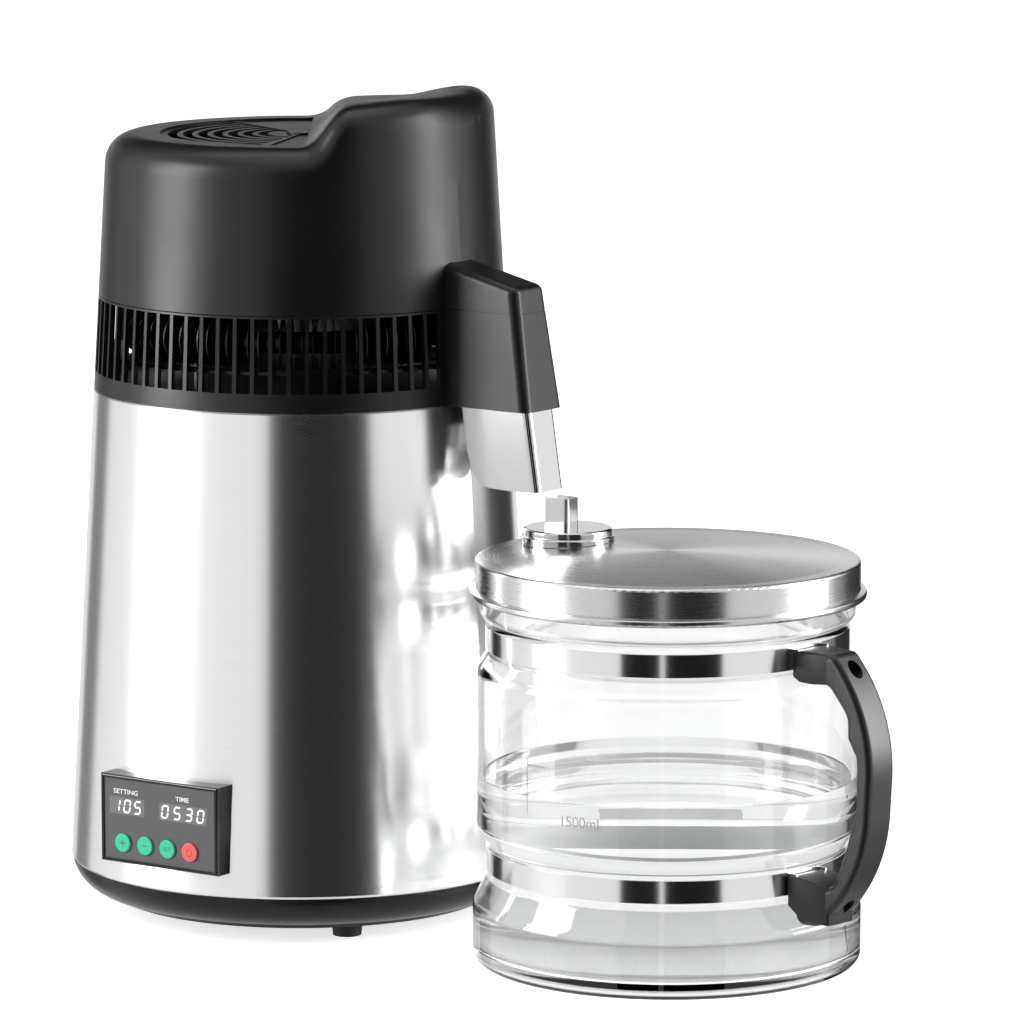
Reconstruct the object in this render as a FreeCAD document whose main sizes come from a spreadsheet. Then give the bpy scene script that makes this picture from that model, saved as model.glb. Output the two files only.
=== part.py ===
"""Glass water distiller: a boiler in a steel casing, a lift-off fan head, and a glass jug with a steel lid.

Millimetres, +Z up. +X runs from the machine's axis through its spout to the jug, and the control
panel looks along -Y. The origin is on the table under the middle of the whole set.
"""
import FreeCAD, Part
import math
import os
import Sketcher

Vector = FreeCAD.Vector
Z_AXIS = Vector(0, 0, 1)

# Driving dimensions: alias, value, what it is.
SIZES = [
    # The set
    ("jug_distance", 210.5, "machine axis to jug axis"),
    ("handle_reach", 125.6, "jug axis to the outside of the handle"),
    ("handle_angle", -6.0, "turn of the handle from +X"),
    # Casing and base
    ("casing_bottom_radius", 110.0, "outside of the steel casing at its lower edge"),
    ("casing_top_radius", 97.3, "outside of the steel casing at its upper edge"),
    ("casing_bottom", 23.3, "height of the casing's lower edge"),
    ("casing_top", 245.0, "height of the casing's upper edge"),
    ("wall_slope", 0.0573, "how much the radius shrinks per mm of height"),
    ("sheet", 0.8, "stainless sheet"),
    ("foot_radius", 7.2, "rubber foot"),
    ("foot_circle", 79.0, "feet from the axis"),
    ("foot_angle", -37.0, "first foot from +X"),
    ("foot_height", 6.0, "rubber foot"),
    ("pan_radius", 93.2, "base pan at its upper edge"),
    ("pan_top", 9.2, "joint between pan and base ring"),
    ("pot_radius", 86.8, "outside of the boiler pot"),
    ("pot_floor", 38.0, "underside of the boiler pot"),
    ("plate_radius", 62.0, "aluminium heating plate"),
    ("plate_thickness", 4.0, "aluminium heating plate"),
    ("rack_radius", 62.0, "wire rack in the boiler"),
    ("rack_wire", 1.2, "radius of the rack's wire"),
    # Control panel
    ("panel_angle", 2.6, "turn of the panel from -Y"),
    ("panel_width", 67.0, "panel frame"),
    ("panel_height", 41.0, "panel frame"),
    ("panel_centre", 55.4, "height of the panel's centre"),
    ("panel_front", 113.4, "axis to the frame's front"),
    ("panel_rim", 1.7, "frame's border"),
    ("face_front", 112.8, "axis to the front of the grey face"),
    ("face_thickness", 1.6, "grey face"),
    ("button_radius", 4.4, "push button"),
    ("button_front", 113.9, "axis to the front of a released button"),
    ("button_first", -20.7, "first button from the panel's centre"),
    ("button_pitch", 12.8, "between buttons"),
    ("button_height", 44.4, "height of the buttons' centres"),
    ("button_travel", 0.8, "how far a button goes in"),
    ("fit_clearance", 0.05, "radial clearance of a running fit"),
    ("board_front", 101.0, "axis to the front of the circuit board"),
    ("window_height", 8.0, "display window"),
    ("window_centre", 61.6, "height of the windows' centres"),
    # Mains inlet and fan lead sockets
    ("inlet_height", 60.0, "height of the mains inlet's centre"),
    ("inlet_front", 110.2, "axis to the inlet's front"),
    # Head
    ("head_bottom", 245.8, "lower edge of the head"),
    ("seam", 290.0, "joint between the cover and the vent ring"),
    ("dome_top", 365.0, "flat top of the cover"),
    ("shoulder", 22.0, "rounding of the cover's shoulder"),
    ("moulding", 2.4, "wall of the head's mouldings"),
    ("hump_angle", 36.87, "direction of the raised side of the cover"),
    ("hump_shoulder", 12.0, "rounding of the raised side's rim"),
    ("hump_ridge", 20.0, "rounding of the step's ridge"),
    ("step_foot", 6.5, "foot of the step up to the raised side, along the hump's direction"),
    ("step_rounding", 17.0, "rounding of the step's foot"),
    ("foot_shoulder", 14.0, "rounding of the cover's shoulder beside the step"),
    ("ridge_place", 17.5, "corner of the step's ridge, along the hump's direction"),
    ("ridge_height", 374.2, "corner of the step's ridge"),
    ("dip_place", 50.0, "where the raised side begins to rise, along the hump's direction"),
    ("dip_height", 376.6, "height there"),
    ("dip_rounding", 45.0, "rounding there"),
    ("crest_height", 397.1, "the raised side's slope, carried on to 110 mm from the axis"),
    ("grille_radius", 65.6, "fan grille"),
    ("grille_top", 364.0, "height of the grille's face"),
    ("grille_thickness", 2.4, "fan grille"),
    ("grille_edge", 4.0, "straight edge of the grille from the axis"),
    ("grille_slot", 4.4, "width of a ring slot"),
    ("grille_pitch", 7.0, "between ring slots"),
    ("grille_angle", 225.0, "middle of the slotted sector from +X"),
    ("grille_span", 128.0, "slotted sector"),
    ("slot_bottom", 254.5, "lower end of the vent slots"),
    ("slot_top", 288.6, "upper end of the vent slots"),
    ("slot_width", 6.5, "vent slot"),
    ("slot_pitch", 5.0, "angle between vent slots"),
    ("slot_first", 12.5, "first vent slot from the spout"),
    ("coil_radius", 74.0, "condenser ring, to the middle of its tube"),
    ("coil_tube", 5.0, "radius of the condenser tube"),
    ("coil_height", 275.5, "height of the condenser ring"),
    ("coil_start", 25.0, "angle at which the steam enters the ring"),
    ("coil_union", 5.8, "radius of the ring's end unions"),
    ("fin_radius", 12.5, "cooling fin"),
    ("fin_thickness", 0.5, "cooling fin"),
    ("fin_first", 33.0, "angle of the first fin"),
    ("fin_pitch", 3.36, "angle between fins"),
    ("fin_count", 96, "cooling fins"),
    ("bracket_width", 1.4, "post under the condenser ring"),
    ("bracket_length", 8.0, "post under the condenser ring"),
    ("fan_radius", 57.0, "tip of the fan blades"),
    ("hub_radius", 14.0, "fan hub"),
    ("fan_shaft_radius", 1.5, "fan shaft"),
    # Spout
    ("spout_end_bottom", 141.5, "axis to the spout's end face at its lower edge"),
    ("spout_lean", 0.155, "how far the end face leans in per mm of height"),
    ("spout_half_bottom", 14.5, "half of the spout's width at its lower edge"),
    ("spout_half_top", 11.3, "half of the spout's width at its roof"),
    ("spout_roof", 309.5, "height of the spout's roof at the drum"),
    ("spout_wall", 1.6, "wall of the spout housing"),
    ("spout_corner", 4.5, "rounding of the spout's upright corners"),
    ("spout_border", 3.8, "rounding of the spout's roof border"),
    ("seam_groove", 0.5, "height and depth of the groove along the head's seam"),
    ("nozzle_front", 145.0, "axis to the nozzle's front at its lower edge"),
    ("nozzle_bottom", 208.8, "lower edge of the nozzle"),
    ("nozzle_top", 258.0, "upper edge of the nozzle inside the housing"),
    ("nozzle_half", 10.5, "half of the nozzle's width"),
    ("nozzle_corner", 3.2, "rounding of the nozzle's front corners"),
    # Jug
    ("jug_base_radius", 88.2, "foot of the glass"),
    ("jug_radius", 86.4, "body of the glass"),
    ("jug_neck_radius", 81.5, "glass under the two bands"),
    ("jug_shoulder_radius", 84.8, "glass above the upper band"),
    ("jug_wall", 2.8, "glass"),
    ("jug_top", 181.0, "mouth of the glass"),
    ("band_height", 10.2, "steel band"),
    ("lower_band", 43.3, "lower edge of the lower band"),
    ("upper_band", 144.6, "lower edge of the upper band"),
    ("handle_half", 9.0, "half of the handle's width"),
    ("screw_radius", 2.0, "handle screw"),
    ("lid_radius", 87.0, "lid's rim"),
    ("lid_rim", 184.8, "height of the lid's rim"),
    ("lid_dome", 3.4, "rise of the lid's middle"),
    ("lid_flat", 79.0, "where the lid's dome starts"),
    ("lid_bead", 89.8, "outside of the rolled bead"),
    ("lid_bottom", 167.6, "lower edge of the lid's skirt"),
    ("cap_offset", -56.0, "jug axis to the filling cap's axis"),
    ("cap_radius", 21.2, "filling cap"),
    ("cap_top", 193.5, "top of the filling cap"),
    ("tube_top", 206.8, "mouth of the filling tube"),
    ("tube_half", 5.0, "half of the filling tube's width"),
    ("tube_back", -65.2, "open side of the filling tube from the jug axis"),
    ("tube_front", -53.1, "closed side of the filling tube from the jug axis"),
]

document = FreeCAD.newDocument("water_distiller")
sheet = document.addObject("Spreadsheet::Sheet", "sizes")
for row, (alias, amount, meaning) in enumerate(SIZES, start=1):
    sheet.set(f"A{row}", meaning)
    sheet.set(f"B{row}", str(amount))
    sheet.setAlias(f"B{row}", alias)
document.recompute()


class Size:
    """A number together with the expression that gives it from the spreadsheet."""

    def __init__(self, value, text):
        self.value = value
        self.text = text

    def __add__(self, other):
        other = as_size(other)
        return Size(self.value + other.value, f"({self.text} + {other.text})")

    def __radd__(self, other):
        return as_size(other) + self

    def __sub__(self, other):
        other = as_size(other)
        return Size(self.value - other.value, f"({self.text} - {other.text})")

    def __rsub__(self, other):
        return as_size(other) - self

    def __mul__(self, other):
        other = as_size(other)
        return Size(self.value * other.value, f"({self.text} * {other.text})")

    def __rmul__(self, other):
        return as_size(other) * self

    def __truediv__(self, other):
        other = as_size(other)
        return Size(self.value / other.value, f"({self.text} / {other.text})")

    def __neg__(self):
        return Size(-self.value, f"(-1 * {self.text})")


def as_size(number):
    """A plain number as a Size, and a Size as it is."""
    if isinstance(number, Size):
        return number
    return Size(float(number), repr(float(number)))


class Dimensions:
    """The spreadsheet's cells by alias, each as a Size."""

    def __init__(self, rows):
        for alias, amount, _ in rows:
            setattr(self, alias, Size(float(amount), f"sizes.{alias}"))


d = Dimensions(SIZES)


# ---------------------------------------------------------------------------------------------
# Helpers
# ---------------------------------------------------------------------------------------------

nodes = {}


def bind(thing, **amounts):
    """Sets properties of an object, and ties each to the spreadsheet."""
    for name, amount in amounts.items():
        amount = as_size(amount)
        setattr(thing, name, amount.value)
        thing.setExpression(name, amount.text)
    return thing


def move(thing, x=0.0, y=0.0, z=0.0, turn=0.0):
    """Places an object: moved to x, y, z and turned about the vertical."""
    x, y, z, turn = as_size(x), as_size(y), as_size(z), as_size(turn)
    place = FreeCAD.Placement(Vector(x.value, y.value, z.value), FreeCAD.Rotation(Z_AXIS, turn.value))
    thing.Placement = place
    thing.setExpression("Placement.Base.x", x.text)
    thing.setExpression("Placement.Base.y", y.text)
    thing.setExpression("Placement.Base.z", z.text)
    if turn.value:
        thing.setExpression("Placement.Rotation.Angle", turn.text)
    return thing


def primitive(kind, name, **amounts):
    """One of Part's primitives with its sizes tied to the spreadsheet."""
    return bind(document.addObject("Part::" + kind, name), **amounts)


def box(name, x, y, z):
    """A block between two values along each axis, given as pairs."""
    block = primitive("Box", name, Length=x[1] - x[0], Width=y[1] - y[0], Height=z[1] - z[0])
    return move(block, x[0], y[0], z[0])


def cylinder(name, radius, low, high, x=0.0, y=0.0):
    """An upright cylinder between two heights."""
    return move(primitive("Cylinder", name, Radius=radius, Height=high - low), x, y, low)


def cone(name, low, high, inset=0.0):
    """The machine's tapering side as a solid between two heights, smaller by an inset."""
    return move(primitive("Cone", name, Radius1=side_radius(low) - inset,
                          Radius2=side_radius(high) - inset, Height=high - low), z=low)


def side_radius(height):
    """Radius of the machine's tapering side at a height."""
    return d.casing_top_radius - (height - d.casing_top) * d.wall_slope


def lying(name, radius, start, length, y, z):
    """A cylinder lying along X from a start."""
    rod = primitive("Cylinder", name, Radius=radius, Height=length)
    start, y, z = as_size(start), as_size(y), as_size(z)
    along_x = FreeCAD.Rotation(Vector(0, 1, 0), 90)
    rod.Placement = FreeCAD.Placement(Vector(start.value, y.value, z.value), along_x)
    rod.setExpression("Placement.Base.x", start.text)
    rod.setExpression("Placement.Base.y", y.text)
    rod.setExpression("Placement.Base.z", z.text)
    return rod


def facing(name, radius, front, depth, x, z):
    """A cylinder whose end looks along -Y, from its front back into the panel."""
    rod = primitive("Cylinder", name, Radius=radius, Height=depth)
    front, x, z = as_size(front), as_size(x), as_size(z)
    along_y = FreeCAD.Rotation(Vector(1, 0, 0), -90)
    rod.Placement = FreeCAD.Placement(Vector(x.value, -front.value, z.value), along_y)
    rod.setExpression("Placement.Base.x", x.text)
    rod.setExpression("Placement.Base.y", (-front).text)
    rod.setExpression("Placement.Base.z", z.text)
    return rod


def group(name, *pieces):
    """Several pieces held together, so that they can be placed or cut as one."""
    held = document.addObject("Part::Compound", name)
    held.Links = list(pieces)
    return held


def fuse(name, *pieces):
    """The union of several pieces."""
    union = document.addObject("Part::MultiFuse", name)
    union.Shapes = list(pieces)
    return union


def cut(name, base, *tools):
    """A base with one or several tools taken away."""
    tool = tools[0] if len(tools) == 1 else fuse(name + "_tools", *tools)
    result = document.addObject("Part::Cut", name)
    result.Base = base
    result.Tool = tool
    return result


def common(name, first, second):
    """What two pieces share."""
    result = document.addObject("Part::Common", name)
    result.Base = first
    result.Tool = second
    return result


def fillet(name, base, radius, wanted):
    """Rounds the edges of a base that a test picks."""
    document.recompute()
    rounded = document.addObject("Part::Fillet", name)
    rounded.Base = base
    picked = [number for number, edge in enumerate(base.Shape.Edges, start=1) if wanted(edge)]
    if not picked:
        raise RuntimeError(f"{name} found no edge to round")
    rounded.Edges = [(number, as_size(radius).value, as_size(radius).value) for number in picked]
    return rounded


def middle(edge):
    """The point half-way along an edge."""
    return edge.valueAt((edge.FirstParameter + edge.LastParameter) / 2)


def fix_point(sketch, geometry, position, x, y):
    """Ties a sketch point to its two coordinates."""
    for kind, amount, axis in (("DistanceX", as_size(x), -2), ("DistanceY", as_size(y), -1)):
        if abs(amount.value) < 1e-9:
            sketch.addConstraint(Sketcher.Constraint("PointOnObject", geometry, position, axis))
            continue
        ends = (-1, 1, geometry, position) if amount.value > 0 else (geometry, position, -1, 1)
        number = sketch.addConstraint(Sketcher.Constraint(kind, *ends, abs(amount.value)))
        text = amount.text if amount.value > 0 else (-amount).text
        sketch.setExpression(f"Constraints[{number}]", text)


def outline(sketch, corners):
    """Draws one closed outline. A corner is (x, y), (x, y, rounding) or (x, y, 0, radius of the arc on to the next).

    An arc's radius is positive where it bulges to the right of the way round.
    """
    count = len(corners)
    points = [Vector(as_size(c[0]).value, as_size(c[1]).value, 0) for c in corners]
    rounding = [as_size(c[2]) if len(c) > 2 else as_size(0) for c in corners]
    bulge = [c[3] if len(c) > 3 else None for c in corners]
    entry, leave = list(points), list(points)
    for i in range(count):
        if rounding[i].value:
            back = (points[i - 1] - points[i]).normalize()
            ahead = (points[(i + 1) % count] - points[i]).normalize()
            reach = rounding[i].value / math.tan(back.getAngle(ahead) / 2)
            entry[i] = points[i] + back * reach
            leave[i] = points[i] + ahead * reach
    edges = []
    for i in range(count):
        start, end = leave[i], entry[(i + 1) % count]
        if bulge[i] is None:
            edges.append((sketch.addGeometry(Part.LineSegment(start, end), False), 1, 2))
            continue
        radius = as_size(bulge[i])
        chord = end - start
        normal = Vector(-chord.y, chord.x, 0).normalize()
        side = 1 if radius.value > 0 else -1
        height = math.sqrt(radius.value ** 2 - (chord.Length / 2) ** 2)
        centre = (start + end) * 0.5 + normal * height * side
        first, last = (start, end) if side > 0 else (end, start)
        angles = [math.atan2(p.y - centre.y, p.x - centre.x) for p in (first, last)]
        circle = Part.Circle(centre, Z_AXIS, abs(radius.value))
        geometry = sketch.addGeometry(Part.ArcOfCircle(circle, angles[0], angles[1]), False)
        number = sketch.addConstraint(Sketcher.Constraint("Radius", geometry, abs(radius.value)))
        sketch.setExpression(f"Constraints[{number}]", (radius if side > 0 else -radius).text)
        edges.append((geometry, 1, 2) if side > 0 else (geometry, 2, 1))
    for i in range(count):
        arriving, leaving = edges[i - 1], edges[i]
        if not rounding[i].value:
            sketch.addConstraint(Sketcher.Constraint("Coincident", arriving[0], arriving[2], leaving[0], leaving[1]))
            fix_point(sketch, leaving[0], leaving[1], *corners[i][:2])
            continue
        marker = sketch.addGeometry(Part.Point(points[i]), True)
        fix_point(sketch, marker, 1, *corners[i][:2])
        sketch.addConstraint(Sketcher.Constraint("PointOnObject", marker, 1, arriving[0]))
        sketch.addConstraint(Sketcher.Constraint("PointOnObject", marker, 1, leaving[0]))
        inward = (entry[i] - points[i]) + (leave[i] - points[i])
        radius = rounding[i].value
        half = (entry[i] - points[i]).getAngle(leave[i] - points[i]) / 2
        centre = points[i] + inward.normalize() * (radius / math.sin(half))
        left = (points[i] - points[i - 1]).cross(points[(i + 1) % count] - points[i]).z > 0
        first, last = (entry[i], leave[i]) if left else (leave[i], entry[i])
        angles = [math.atan2(p.y - centre.y, p.x - centre.x) for p in (first, last)]
        arc = sketch.addGeometry(Part.ArcOfCircle(Part.Circle(centre, Z_AXIS, radius), angles[0], angles[1]), False)
        near, far = (1, 2) if left else (2, 1)
        sketch.addConstraint(Sketcher.Constraint("Tangent", arriving[0], arriving[2], arc, near))
        sketch.addConstraint(Sketcher.Constraint("Tangent", arc, far, leaving[0], leaving[1]))
        number = sketch.addConstraint(Sketcher.Constraint("Radius", arc, radius))
        sketch.setExpression(f"Constraints[{number}]", rounding[i].text)


def plane(body, role):
    """One of a body's own origin planes."""
    return next(f for f in body.Origin.OriginFeatures if f.Role == role)


def drawing(body, name, role, *outlines):
    """A sketch on one of a body's origin planes."""
    sketch = body.newObject("Sketcher::SketchObject", name)
    sketch.AttachmentSupport = [(plane(body, role), "")]
    sketch.MapMode = "FlatFace"
    for corners in outlines:
        outline(sketch, corners)
    return sketch


def turned(name, *outlines, angle=360.0):
    """A body revolved about the vertical from outlines given as radius and height."""
    body = document.addObject("PartDesign::Body", name)
    sketch = drawing(body, name + "_profile", "XZ_Plane", *outlines)
    turning = body.newObject("PartDesign::Revolution", name + "_turning")
    turning.Profile = sketch
    turning.ReferenceAxis = (sketch, ["V_Axis"])
    turning.Midplane = angle < 360.0
    bind(turning, Angle=angle)
    body.Tip = turning
    return body


def padded(name, role, thickness, *outlines):
    """A body padded both ways from one of its planes."""
    body = document.addObject("PartDesign::Body", name)
    sketch = drawing(body, name + "_profile", role, *outlines)
    pad = body.newObject("PartDesign::Pad", name + "_pad")
    pad.Profile = sketch
    pad.Midplane = True
    bind(pad, Length=thickness)
    body.Tip = pad
    return body


def node(thing, name, x=None, turn=0.0):
    """Makes an object the sub-part of that name, placed on the machine's or the jug's axis."""
    if name in nodes:
        raise RuntimeError(f"two nodes are called {name}")
    if thing.TypeId != "PartDesign::Body":
        holder = document.addObject("Part::Compound", name + "_node")
        holder.Links = [thing]
        thing = holder
    thing.Label = name
    move(thing, unit_x if x is None else x, turn=turn)
    nodes[name] = thing
    return thing


# The machine's axis and the jug's, with the whole footprint centred on the origin.
unit_x = (d.casing_bottom_radius - d.jug_distance - d.handle_reach) / 2.0
jug_x = unit_x + d.jug_distance


# ---------------------------------------------------------------------------------------------
# Base: feet, pan, ring, casing, boiler and its heater
# ---------------------------------------------------------------------------------------------

def around(angle, radius):
    """The x and y of a point at an angle and radius, as plain numbers."""
    return radius * math.cos(math.radians(angle)), radius * math.sin(math.radians(angle))


def make_base():
    feet = []
    for number in range(3):
        x, y = around(d.foot_angle.value + 120 * number, d.foot_circle.value)
        foot = primitive("Cone", f"foot_{number}", Radius1=d.foot_radius - 0.6, Radius2=d.foot_radius,
                         Height=d.foot_height)
        feet.append(move(foot, x, y))
    node(fuse("feet", *feet), "rubber_feet")

    pan = turned("base_pan", [(0, d.foot_height), (d.pan_radius - 2.7, d.foot_height),
                              (d.pan_radius, d.pan_top), (0, d.pan_top)])
    slot = drawing(pan, "pan_slot", "XY_Plane", [(28, -2), (58, -2), (58, 2), (28, 2)])
    pocket = pan.newObject("PartDesign::Pocket", "pan_vent")
    pocket.Profile = slot
    pocket.Type = "ThroughAll"
    pocket.Midplane = True
    rows = pan.newObject("PartDesign::PolarPattern", "pan_vents")
    rows.Originals = [pocket]
    rows.Axis = (slot, ["N_Axis"])
    rows.Occurrences = 12
    pan.Tip = rows
    node(pan, "base_pan")

    edge = d.casing_bottom_radius - 0.6
    node(turned("base_ring", [
        (edge - 5.5, d.casing_bottom + 4), (edge - 0.8, d.casing_bottom + 4), (edge - 0.8, d.casing_bottom),
        (edge, d.casing_bottom, 0, -19), (98, d.pan_top), (d.pan_radius - 5, d.pan_top),
        (d.pan_radius - 5, d.pan_top + 3), (97, d.pan_top + 3), (edge - 5.5, 20)]), "base_ring")


def make_casing():
    low = d.casing_bottom
    high = d.casing_top
    shell = turned("casing_shell", [
        (d.casing_bottom_radius - 1.4, low), (d.casing_bottom_radius - 0.9, low),
        (side_radius(low + 1.4), low + 1.4), (side_radius(high), high),
        (side_radius(high) - d.sheet, high), (side_radius(low + 1.4) - d.sheet, low + 1.4)])
    window = box("casing_panel_window", (-30.0, 30.0), (-115.0, -95.0),
                 (d.panel_centre - 17.0, d.panel_centre + 17.0))
    turned_window = document.addObject("Part::Compound", "casing_panel_opening")
    turned_window.Links = [window]
    move(turned_window, turn=d.panel_angle)
    inlet_middle = d.inlet_height
    inlet = box("casing_inlet_opening", (-13.2, 13.2), (95.0, 115.0), (inlet_middle - 9.7, inlet_middle + 9.7))
    node(cut("casing", shell, turned_window, inlet), "outer_casing")


def make_boiler():
    inner = d.pot_radius - d.sheet
    rim = d.casing_top
    node(turned("boiler_pot", [
        (0, d.pot_floor), (d.pot_radius, d.pot_floor, 5), (d.pot_radius, rim), (side_radius(rim) - 0.3, rim),
        (side_radius(rim) - 0.3, rim + d.sheet), (inner, rim + d.sheet), (inner, d.pot_floor + d.sheet, 4.2),
        (0, d.pot_floor + d.sheet)]), "boiler_pot")
    plate_low = d.pot_floor - d.plate_thickness
    node(cylinder("plate", d.plate_radius, plate_low, d.pot_floor), "heating_plate")
    element = turned("heating_element", [(46, plate_low), (46, plate_low - 4.5, 0, 4.1), (54, plate_low - 4.5),
                                         (54, plate_low)], angle=300.0)
    node(element, "heating_element")
    node(cylinder("cutout", 9.0, plate_low - 9, plate_low), "thermal_cutout")

    wires = [primitive("Torus", "rack_ring", Radius1=d.rack_radius, Radius2=d.rack_wire)]
    for number in range(-2, 3):
        y = 21.0 * number
        half = math.sqrt(d.rack_radius.value ** 2 - y ** 2)
        wires.append(lying(f"rack_bar_{number + 2}", d.rack_wire * 0.9, -half, 2 * half, y, 0.0))
    rack = fuse("rack", *wires)
    stand = document.addObject("Part::Compound", "rack_stand")
    feet = []
    for number in range(4):
        x, y = around(45 + 90 * number, d.rack_radius.value)
        feet.append(cylinder(f"rack_foot_{number}", d.rack_wire, -8.0, 0.0, x, y))
    stand.Links = [fuse("rack_whole", rack, *feet)]
    move(stand, z=d.pot_floor + d.sheet + 8.0)
    node(stand, "boiler_rack")


def make_sockets():
    low, high = d.inlet_height - 12.0, d.inlet_height + 12.0
    flange = box("inlet_flange", (-15.5, 15.5), (104.0, d.inlet_front), (low, high))
    outside = cut("inlet_flange_fitted", flange, cone("inlet_casing_side", d.casing_bottom, d.casing_top))
    height = d.inlet_height
    body = box("inlet_body", (-13.0, 13.0), (92.0, d.inlet_front), (height - 9.5, height + 9.5))
    recess = box("inlet_recess", (-11.5, 11.5), (d.inlet_front - 15.0, d.inlet_front + 1.0),
                 (d.inlet_height - 8.0, d.inlet_height + 8.0))
    pins = []
    for number, (x, z) in enumerate(((-7.0, 2.0), (7.0, 2.0), (0.0, -2.0))):
        z = d.inlet_height - z
        pins.append(box(f"inlet_pin_{number}", (x - 1.0, x + 1.0), (d.inlet_front - 15.5, d.inlet_front - 5.5),
                        (z - 2.0, z + 2.0)))
    hollow = cut("inlet_hollow", fuse("inlet_solid", outside, body), recess)
    node(fuse("inlet", hollow, *pins), "mains_inlet")
    for name, centre in (("fan_lead_outlet", 226.0), ("fan_lead_inlet", 308.0)):
        outside = side_radius(centre)
        block = box(name + "_block", (-11.0, 11.0), (90.0, outside + 2.6), (centre - 7.0, centre + 7.0))
        seat = cut(name + "_seat", block, cone(name + "_side", centre - 12.0, centre + 12.0))
        hole = box(name + "_hole", (-7.0, 7.0), (outside + 0.9, 110.0), (centre - 3.5, centre + 3.5))
        node(cut(name + "_cut", seat, hole), name)


# ---------------------------------------------------------------------------------------------
# Control panel, built looking along -Y and turned to its place
# ---------------------------------------------------------------------------------------------

BUTTONS = ("button_plus", "button_minus", "button_set", "button_power")
WINDOWS = (("setting_window", -18.6, 19.8), ("time_window", 13.6, 27.0))


def make_panel():
    low = d.panel_centre - d.panel_height / 2.0
    high = d.panel_centre + d.panel_height / 2.0
    half = d.panel_width / 2.0
    side = cone("panel_casing_side", d.casing_bottom, d.casing_top)
    block = box("frame_block", (-half, half), (-d.panel_front, -95.0), (low, high))
    bevelled = fillet("frame_bevel", block, 0.9, lambda edge: middle(edge).y < 1 - d.panel_front.value)
    inner = box("frame_inside", (-half + d.panel_rim, half - d.panel_rim), (-120.0, -90.0),
                (low + d.panel_rim, high - d.panel_rim))
    node(cut("frame_fitted", bevelled, inner, side), "panel_frame", turn=d.panel_angle)

    back = d.face_front - d.face_thickness
    face = box("face_block", (-half + d.panel_rim, half - d.panel_rim), (-d.face_front, -back),
               (low + d.panel_rim, high - d.panel_rim))
    holes = []
    for name, x, width in WINDOWS:
        span = (x - width / 2, x + width / 2)
        rows = (d.window_centre - d.window_height / 2.0, d.window_centre + d.window_height / 2.0)
        holes.append(box(name + "_opening", span, (-120.0, -100.0), rows))
        node(box(name + "_pane", span, (-d.face_front, -back), rows), name, turn=d.panel_angle)
    for number, name in enumerate(BUTTONS):
        x = d.button_first + d.button_pitch * number
        hole_radius = d.button_radius + d.fit_clearance
        holes.append(facing(name + "_hole", hole_radius, 120.0, 20.0, x, d.button_height))
        switch_front = d.board_front + 3.5
        cap = facing(name + "_cap", d.button_radius, d.button_front, 4.2, x, d.button_height)
        stem = facing(name + "_stem", 1.8, d.button_front - 1.0, d.button_front - 1.0 - switch_front - d.button_travel,
                      x, d.button_height)
        rounded = fillet(name + "_rounded", cap, 0.5, lambda edge: middle(edge).y < 0.1 - d.button_front.value)
        node(fuse(name + "_whole", rounded, stem), name, turn=d.panel_angle)
    node(cut("face_cut", face, *holes), "panel_face", turn=d.panel_angle)

    board_back = d.board_front - 1.6
    node(box("board", (-29.0, 29.0), (-d.board_front, -board_back), (low + 4.0, high - 4.0)), "control_board",
         turn=d.panel_angle)
    switches = []
    for number in range(len(BUTTONS)):
        x = d.button_first + d.button_pitch * number
        switches.append(box(f"switch_{number}", (x - 3.0, x + 3.0), (-d.board_front - 3.5, -d.board_front),
                            (d.button_height - 3.0, d.button_height + 3.0)))
    node(fuse("switches", *switches), "button_switches", turn=d.panel_angle)
    digits = []
    for name, x, width in WINDOWS:
        digits.append(box(name + "_digits", (x - width / 2, x + width / 2), (-back, -d.board_front),
                          (d.window_centre - 5.0, d.window_centre + 5.0)))
    node(fuse("digit_blocks", *digits), "display_digits", turn=d.panel_angle)


# ---------------------------------------------------------------------------------------------
# Head: cover, grille, vent ring, condenser and fan
# ---------------------------------------------------------------------------------------------

def domed(name, inset):
    """The cover as a solid: the tapering wall under a roof that steps up to the raised side, its rim rounded."""
    low = d.seam - as_size(inset) * 0.5
    top = d.dome_top - inset
    ridge = d.hump_ridge - inset
    roof = padded(name + "_roof", "XZ_Plane", 240.0, [
        (-110.0, low), (110.0, low), (110.0, d.crest_height - inset),
        (d.dip_place, d.dip_height - inset, d.dip_rounding + inset),
        (d.ridge_place, d.ridge_height - inset, ridge), (d.step_foot, top, d.step_rounding + inset),
        (-110.0, top)])
    move(roof, turn=d.hump_angle)
    side = cone(name + "_side", low, 400.0, inset)
    block = common(name + "_block", roof, side)
    document.recompute()

    def rim_radius(point):
        place = along_hump(point)
        back, foot, ridge_place = -90.0, d.step_foot.value - 6.0, d.ridge_place.value
        stops = [(back, d.shoulder), (foot, d.foot_shoulder), (ridge_place, d.hump_shoulder)]
        radius = d.hump_shoulder.value
        for (first, start), (last, end) in zip(stops, stops[1:]):
            if place < last:
                share = max(0.0, (place - first) / (last - first))
                radius = start.value + (end.value - start.value) * share
                break
        return radius - as_size(inset).value

    rim = []
    for number, edge in enumerate(block.Shape.Edges, start=1):
        point = middle(edge)
        wall = side_radius(point.z).value - as_size(inset).value
        if abs(math.hypot(point.x, point.y) - wall) < 0.3 and point.z > 355.0:
            ends = [rim_radius(edge.valueAt(at)) for at in (edge.FirstParameter, edge.LastParameter)]
            rim.append((number, ends[0], ends[1]))
    rounded = document.addObject("Part::Fillet", name + "_rounded")
    rounded.Base = block
    rounded.Edges = rim
    return rounded


def along_hump(point):
    """How far a point lies from the axis in the hump's direction."""
    turn = math.radians(d.hump_angle.value)
    return point.x * math.cos(turn) + point.y * math.sin(turn)


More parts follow.
